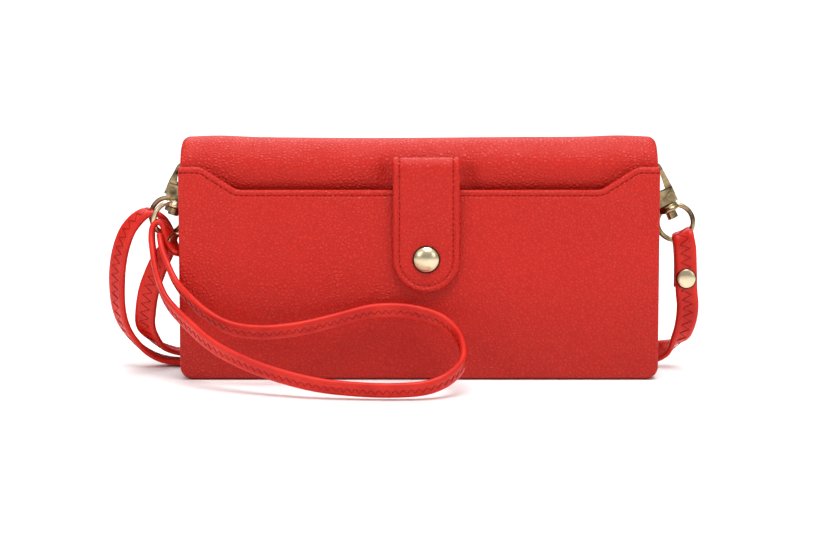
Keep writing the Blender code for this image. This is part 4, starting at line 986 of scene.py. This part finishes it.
def wrap_place(x, j):
    """A point of the long piece: its line, eased down at both ends and pressed in by the tab."""
    y, z = wrap[j]
    before = wrap[max(j - 1, 0)]
    after = wrap[min(j + 1, len(wrap) - 1)]
    out = Vector((0, -(after[1] - before[1]), after[0] - before[0])).normalized()
    beyond = max(0.0, abs(x) - (WRAP_HALF - ROLL_END_CORNER))
    corner_drop = ROLL_END_CORNER - math.sqrt(max(0.0, ROLL_END_CORNER ** 2 - beyond ** 2))
    lift = max(0.0, (z - ROLL_Z) / ROLL_RISE)
    shift = Vector((0, 0, -corner_drop * lift))
    shift.z += lift * (0.6 * MM * math.exp(-((abs(x) - 84 * MM) / (11 * MM)) ** 2)
                       - 0.5 * MM * math.exp(-((x + 20 * MM) / (45 * MM)) ** 2))
    if y < ROLL_Y:
        for middle, width, depth in TAB_DENTS:
            dent = depth * math.exp(-((x - middle) / width) ** 2 - ((z - 86 * MM) / (5.5 * MM)) ** 2)
            shift.y += dent
        shift.y += 0.35 * MM * math.sin(x / (9 * MM)) * lift * math.exp(-((z - 92 * MM) / (6 * MM)) ** 2)
    distance = min(WRAP_HALF - abs(x), z - FLAP_END if y > ROLL_Y else 1.0)
    if y > ROLL_Y and z < FLAP_END + FLAP_CORNER:
        over = max(0.0, abs(x) - (WRAP_HALF - FLAP_CORNER))
        if over > 0:
            rise = FLAP_CORNER - math.sqrt(max(0.0, FLAP_CORNER ** 2 - over ** 2))
            share = (FLAP_END + FLAP_CORNER - z) / FLAP_CORNER
            z = FLAP_END + FLAP_CORNER - share * (FLAP_CORNER - rise)
            distance = min(distance, FLAP_CORNER - math.hypot(over, FLAP_END + FLAP_CORNER - z))
    if j < 2:
        distance = min(distance, 0.0 if j == 0 else 1.0)
    groove = 0.0
    if y > ROLL_Y and z < ROLL_Z:
        edge_gap = min(distance, WRAP_HALF - abs(x))
        groove = -0.30 * MM * math.exp(-((edge_gap - 3.0 * MM) / (0.45 * MM)) ** 2)
    return Vector((x, y, z)) + shift, out, max(distance, 0.0), groove


wrap_us = []
for side in (-1, 1):
    wrap_us += [side * (WRAP_HALF - e) for e in (*EDGE_STEPS, 1.5 * MM, 2.2 * MM, 2.7 * MM, 3.0 * MM,
                                                 3.3 * MM, 3.8 * MM, 4.6 * MM, 6.0 * MM, 8.0 * MM)]
wrap_us += [(-90 + 2 * k) * MM for k in range(91)]
wrap_us = sorted(set(round(u, 6) for u in wrap_us))
wrap_leather = leaf("body_wrap_leather", wrap_us, list(range(len(wrap))), wrap_place, 1.8 * MM, pebbled)
hem_line = []
hem_x = WRAP_HALF - 3.0 * MM
inset = FLAP_CORNER - 3.0 * MM
for z in (82, 70, 60, 50, 44):
    hem_line.append(Vector((-hem_x, FLAP_Y, z * MM)))
for k in range(13):
    turn = math.radians(180 + 90 * k / 12)
    hem_line.append(Vector((-WRAP_HALF + FLAP_CORNER + inset * math.cos(turn), FLAP_Y,
                            FLAP_END + FLAP_CORNER + inset * math.sin(turn))))
hem_line = hem_line + [Vector((-p.x, p.y, p.z)) for p in reversed(hem_line)]
hem_line = [p + Vector((0, 0.9 * MM - 0.18 * MM, 0)) for p in hem_line]
flap_hem = sew("back_flap_hem", straight_row, [hem_line], **SEAM_THREAD)

base_line = [(WALL_Y, 65.6 * MM), (WALL_Y, 65.0 * MM), (WALL_Y, 64.0 * MM)]
base_line += [(WALL_Y, (60 - 6 * k) * MM) for k in range(9)]
bend = 3.0 * MM
low = bend + BODY_WALL / 2
for centre_y, first in ((WALL_Y + bend, 180), (12.0 * MM - bend, 270)):
    for k in range(9):
        turn = math.radians(first + 90 * k / 8)
        base_line.append((centre_y + bend * math.cos(turn), low + bend * math.sin(turn)))
base_line += [(12.0 * MM, (12 + 8 * k) * MM) for k in range(9)]
base_line += [(12.0 * MM, 86 * MM - e) for e in reversed(EDGE_STEPS)]


def base_place(x, j):
    """A point of the U-shaped piece: front wall, base and back wall."""
    y, z = base_line[j]
    before = base_line[max(j - 1, 0)]
    after = base_line[min(j + 1, len(base_line) - 1)]
    out = Vector((0, after[1] - before[1], -(after[0] - before[0]))).normalized()
    ends = [math.dist(base_line[j], base_line[0]), math.dist(base_line[j], base_line[-1])]
    return Vector((x, y, z)), out, min(BODY_HALF - abs(x), *ends), 0.0


base_us = spread(-BODY_HALF, BODY_HALF, 4 * MM)
base_leather = leaf("body_base_leather", base_us, list(range(len(base_line))), base_place, BODY_WALL, pebbled)
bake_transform(wrap_leather)
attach(base_leather, "root")
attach(flap_hem, "flap")
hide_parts("back_flap")
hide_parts("body_shell")


# Inside: leather end walls, two stepped card leaves on a backing, and a coin pocket of lining
# cloth whose zip is sewn between two tapes.
def lining_cloth():
    """Plain-woven polyester lining, dark brown red."""
    look, tree, shader = new_material("woven_lining")
    spot = add_node(tree, "ShaderNodeTexCoord")
    # Threads 0.5 mm apart both ways.
    warp = add_node(tree, "ShaderNodeTexWave", {"Vector": spot.outputs["Object"], "Scale": 1 / 0.0031},
                    bands_direction="X")
    weft = add_node(tree, "ShaderNodeTexWave", {"Vector": spot.outputs["Object"], "Scale": 1 / 0.0031},
                    bands_direction="Z")
    cross = add_node(tree, "ShaderNodeMath", {0: warp.outputs["Fac"], 1: weft.outputs["Fac"]},
                     operation="MULTIPLY")
    tone = add_node(tree, "ShaderNodeValToRGB", {"Fac": cross.outputs[0]})
    tone.color_ramp.elements[0].color = linear("#2c1616")
    tone.color_ramp.elements[1].color = linear("#4d2b2a")
    tree.links.new(tone.outputs["Color"], shader.inputs["Base Color"])
    bump = add_node(tree, "ShaderNodeBump", {"Height": cross.outputs[0], "Strength": 0.4, "Distance": 0.0001})
    tree.links.new(bump.outputs["Normal"], shader.inputs["Normal"])
    shader.inputs["Roughness"].default_value = 0.8
    shader.inputs["Sheen Weight"].default_value = 0.3
    return look


lining = lining_cloth()


def slab(node, name, thin, look, step=6 * MM):
    """A flat leaf of leather or cloth with round edges, on a node's box; thin is its thin axis."""
    low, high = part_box(node)
    wide, tall = [k for k in range(3) if k != thin]
    thick = high[thin] - low[thin]
    middle = (high[thin] + low[thin]) / 2
    edge = min(0.45 * thick, 0.9 * MM)
    ends = [edge * s for s in (0.0, 0.06, 0.2, 0.45, 1.0)]

    def place(u, v):
        spot = Vector((0, 0, 0))
        spot[wide], spot[tall], spot[thin] = u, v, middle
        out = Vector((0, 0, 0))
        out[thin] = 1
        return spot, out, min(u - low[wide], high[wide] - u, v - low[tall], high[tall] - v), 0.0

    made = leaf(name, spread(low[wide], high[wide], step, ends), spread(low[tall], high[tall], step, ends),
                place, thick, look, edge)
    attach(made, "root")
    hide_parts(node)
    return made


for label in ("left", "right"):
    wall = slab("gusset_" + label, "end_wall_" + label, 0, pebbled, 3 * MM)
for node in ("card_backing", "card_leaf_upper", "card_leaf_lower", "coin_leaf_front", "coin_leaf_back"):
    cloth = slab(node, node + "_cloth", 1, lining)
for node in ("zip_tape_front", "zip_tape_back"):
    tape = slab(node, node + "_cloth", 2, lining, 3 * MM)
dress(zip_metal, "zip_chain", "zip_slider", "zip_pull")
dress(magnet_steel, "body_magnet", "flap_magnet")


# Ring loops: a short strip of the strap leather, folded round each ring's bar and sewn to the
# end wall below it.
LOOP_REACH = 2.3 * MM
for label, side in (("left", -1), ("right", 1)):
    low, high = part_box("ring_loop_" + label)
    bar_x = side * (abs(high[0] + low[0]) / 2 + 0.45 * MM)
    middle_y = (low[1] + high[1]) / 2
    wall_x = side * (min(abs(low[0]), abs(high[0])) + 0.75 * MM)
    bar_z = high[2] - 2.95 * MM
    loop_line = [(wall_x, z) for z in (low[2], low[2] + 4 * MM, bar_z - 6 * MM, bar_z - 3 * MM)]
    for angle in range(0, 200, 20):
        turn = math.radians(angle)
        loop_line.append((bar_x - side * LOOP_REACH * math.cos(turn), bar_z + LOOP_REACH * math.sin(turn)))
    loop_line += [(bar_x + side * 1.6 * MM, bar_z - 1.9 * MM), (wall_x + side * 1.9 * MM, bar_z - 3.4 * MM)]
    stations = [((x, middle_y, z), (0, 1, 0)) for x, z in loop_line]
    loop = sweep(strap_frames(smooth_route(stations, 0.8 * MM)), strap_profile(7.0 * MM, 1.4 * MM, 0.1 * MM),
                 strap_red, "ring_loop_leather_" + label)
    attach(loop, "root")
    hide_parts("ring_loop_" + label)


# Closure tab: two layers of leather with a rolled border, sewn all round, which rises from
# inside the pocket, folds over the panel and snaps to its front with a capped press stud.
tab_low, tab_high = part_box("closure_tab")
TAB_WALL = 1.8 * MM
TAB_HALF = (tab_high[0] - tab_low[0]) / 2
TAB_FRONT_Y = tab_low[1] + TAB_WALL / 2
BEND_R = 3.4 * MM
BEND_Y = TAB_FRONT_Y + BEND_R
BEND_Z = tab_high[2] - TAB_WALL / 2 - BEND_R
TAB_END_Z = tab_low[2] + TAB_HALF
ROOT_LEG_Y = BEND_Y + BEND_R
SEWN_Y = -6.2 * MM


def tab_line():
    """Middle line of the tab from its sewn foot up, over the bend and down to its round end."""
    line = [(SEWN_Y, (46 + e) * MM) for e in (0.0, 0.05, 0.16, 0.34, 0.58, 0.9)]
    line += [(SEWN_Y, z * MM) for z in (50, 55, 60, 65, 69)]
    for k in range(1, 13):
        ease = (1 - math.cos(math.pi * k / 12)) / 2
        line.append((SEWN_Y + (ROOT_LEG_Y - SEWN_Y) * ease, (70 + 10.5 * k / 12) * MM))
    line += [(ROOT_LEG_Y, z * MM) for z in (83, 86, 88.5)]
    for k in range(17):
        turn = math.pi * k / 16
        line.append((BEND_Y + BEND_R * math.cos(turn), BEND_Z + BEND_R * math.sin(turn)))
    line += [(TAB_FRONT_Y, BEND_Z - (BEND_Z - TAB_END_Z) * k / 26) for k in range(1, 27)]
    return line


tab_points = tab_line()
TAB_MARGINS = [0.0, 0.05, 0.16, 0.34, 0.58, 0.9, 1.2, 1.5, 1.8, 2.05, 2.3, 2.55, 2.8, 3.05, 3.3, 3.6, 4.0,
               4.6, 5.4, 6.6, 8.2, 10.0, 12.0, 14.0]
tab_us = sorted([m * MM - TAB_HALF for m in TAB_MARGINS] + [TAB_HALF - m * MM for m in TAB_MARGINS[:-1]])
end_rows = [TAB_HALF * math.sin(math.radians(a)) for a in range(4, 80, 4)]
end_rows += [TAB_HALF * math.cos(math.radians(a)) for a in (8.5, 7, 5.5, 4, 2.5, 1, 0)]
tab_vs = list(range(len(tab_points) + len(end_rows)))


def tab_place(u, j):
    """A point of the tab: straight sides, a round end, and a rolled border inside the edge."""
    if j < len(tab_points):
        y, z = tab_points[j]
        before = tab_points[max(j - 1, 0)]
        after = tab_points[min(j + 1, len(tab_points) - 1)]
        out = Vector((0, after[1] - before[1], before[0] - after[0])).normalized()
        x = u
        distance = TAB_HALF - abs(x)
        if y > BEND_Y and z < 60 * MM:
            distance = min(distance, z - 46 * MM)
    else:
        drop = end_rows[j - len(tab_points)]
        y, z = TAB_FRONT_Y, TAB_END_Z - drop
        out = Vector((0, -1, 0))
        x = u * math.sqrt(max(0.0, 1 - (drop / TAB_HALF) ** 2))
        distance = TAB_HALF - math.hypot(x, drop)
    roll = 0.34 * MM * math.exp(-((distance - 1.25 * MM) / (0.75 * MM)) ** 2)
    groove = -0.34 * MM * math.exp(-((distance - 2.8 * MM) / (0.38 * MM)) ** 2)
    reach = math.hypot(x, z - TAB_END_Z)
    pinch = -0.35 * MM * math.exp(-((reach - 5.5 * MM) / (1.4 * MM)) ** 2) if y < BEND_Y else 0.0
    front = 1.0 if y < BEND_Y or z > BEND_Z else 0.0
    return Vector((TAB_X + x, y, z)), out, max(distance, 0.0), (roll + groove + pinch) * front


tab_leather = leaf("tab_leather", tab_us, tab_vs, tab_place, TAB_WALL, pebbled)
tab_seam_line = []
side_rows = [j for j, (y, z) in enumerate(tab_points)
             if y < BEND_Y + BEND_R * 0.9 and z > BEND_Z - 40 * MM and (z > BEND_Z or y < BEND_Y)]
INSET = 2.8 * MM
for j in side_rows:
    spot, out, _, relief = tab_place(-(TAB_HALF - INSET), j)
    tab_seam_line.append(spot + out * (TAB_WALL / 2 + relief + 0.05 * MM))
for k in range(1, 36):
    turn = math.pi * (1 + k / 36)
    radius = TAB_HALF - INSET
    tab_seam_line.append(Vector((TAB_X + radius * math.cos(turn), TAB_FRONT_Y - TAB_WALL / 2 + 0.29 * MM,
                                 TAB_END_Z + radius * math.sin(turn))))
for j in reversed(side_rows):
    spot, out, _, relief = tab_place(TAB_HALF - INSET, j)
    tab_seam_line.append(spot + out * (TAB_WALL / 2 + relief + 0.05 * MM))
tab_seam = sew("tab_seam", straight_row, [tab_seam_line], **{"Pitch": 2.2 * MM, "Thread radius": 0.25 * MM})
cap_low, cap_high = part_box("snap_cap")
cap_centre = ((cap_low[0] + cap_high[0]) / 2, TAB_FRONT_Y - TAB_WALL / 2, (cap_low[2] + cap_high[2]) / 2)
snap_head = rivet_head("snap_cap_head", cap_centre, (0, -1, 0), (cap_high[0] - cap_low[0]) / 2, 2.3 * MM)
for piece in (tab_leather, tab_seam):
    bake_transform(piece)
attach(snap_head, "tab")
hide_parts("closure_tab", "tab_root")
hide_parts("snap_cap")
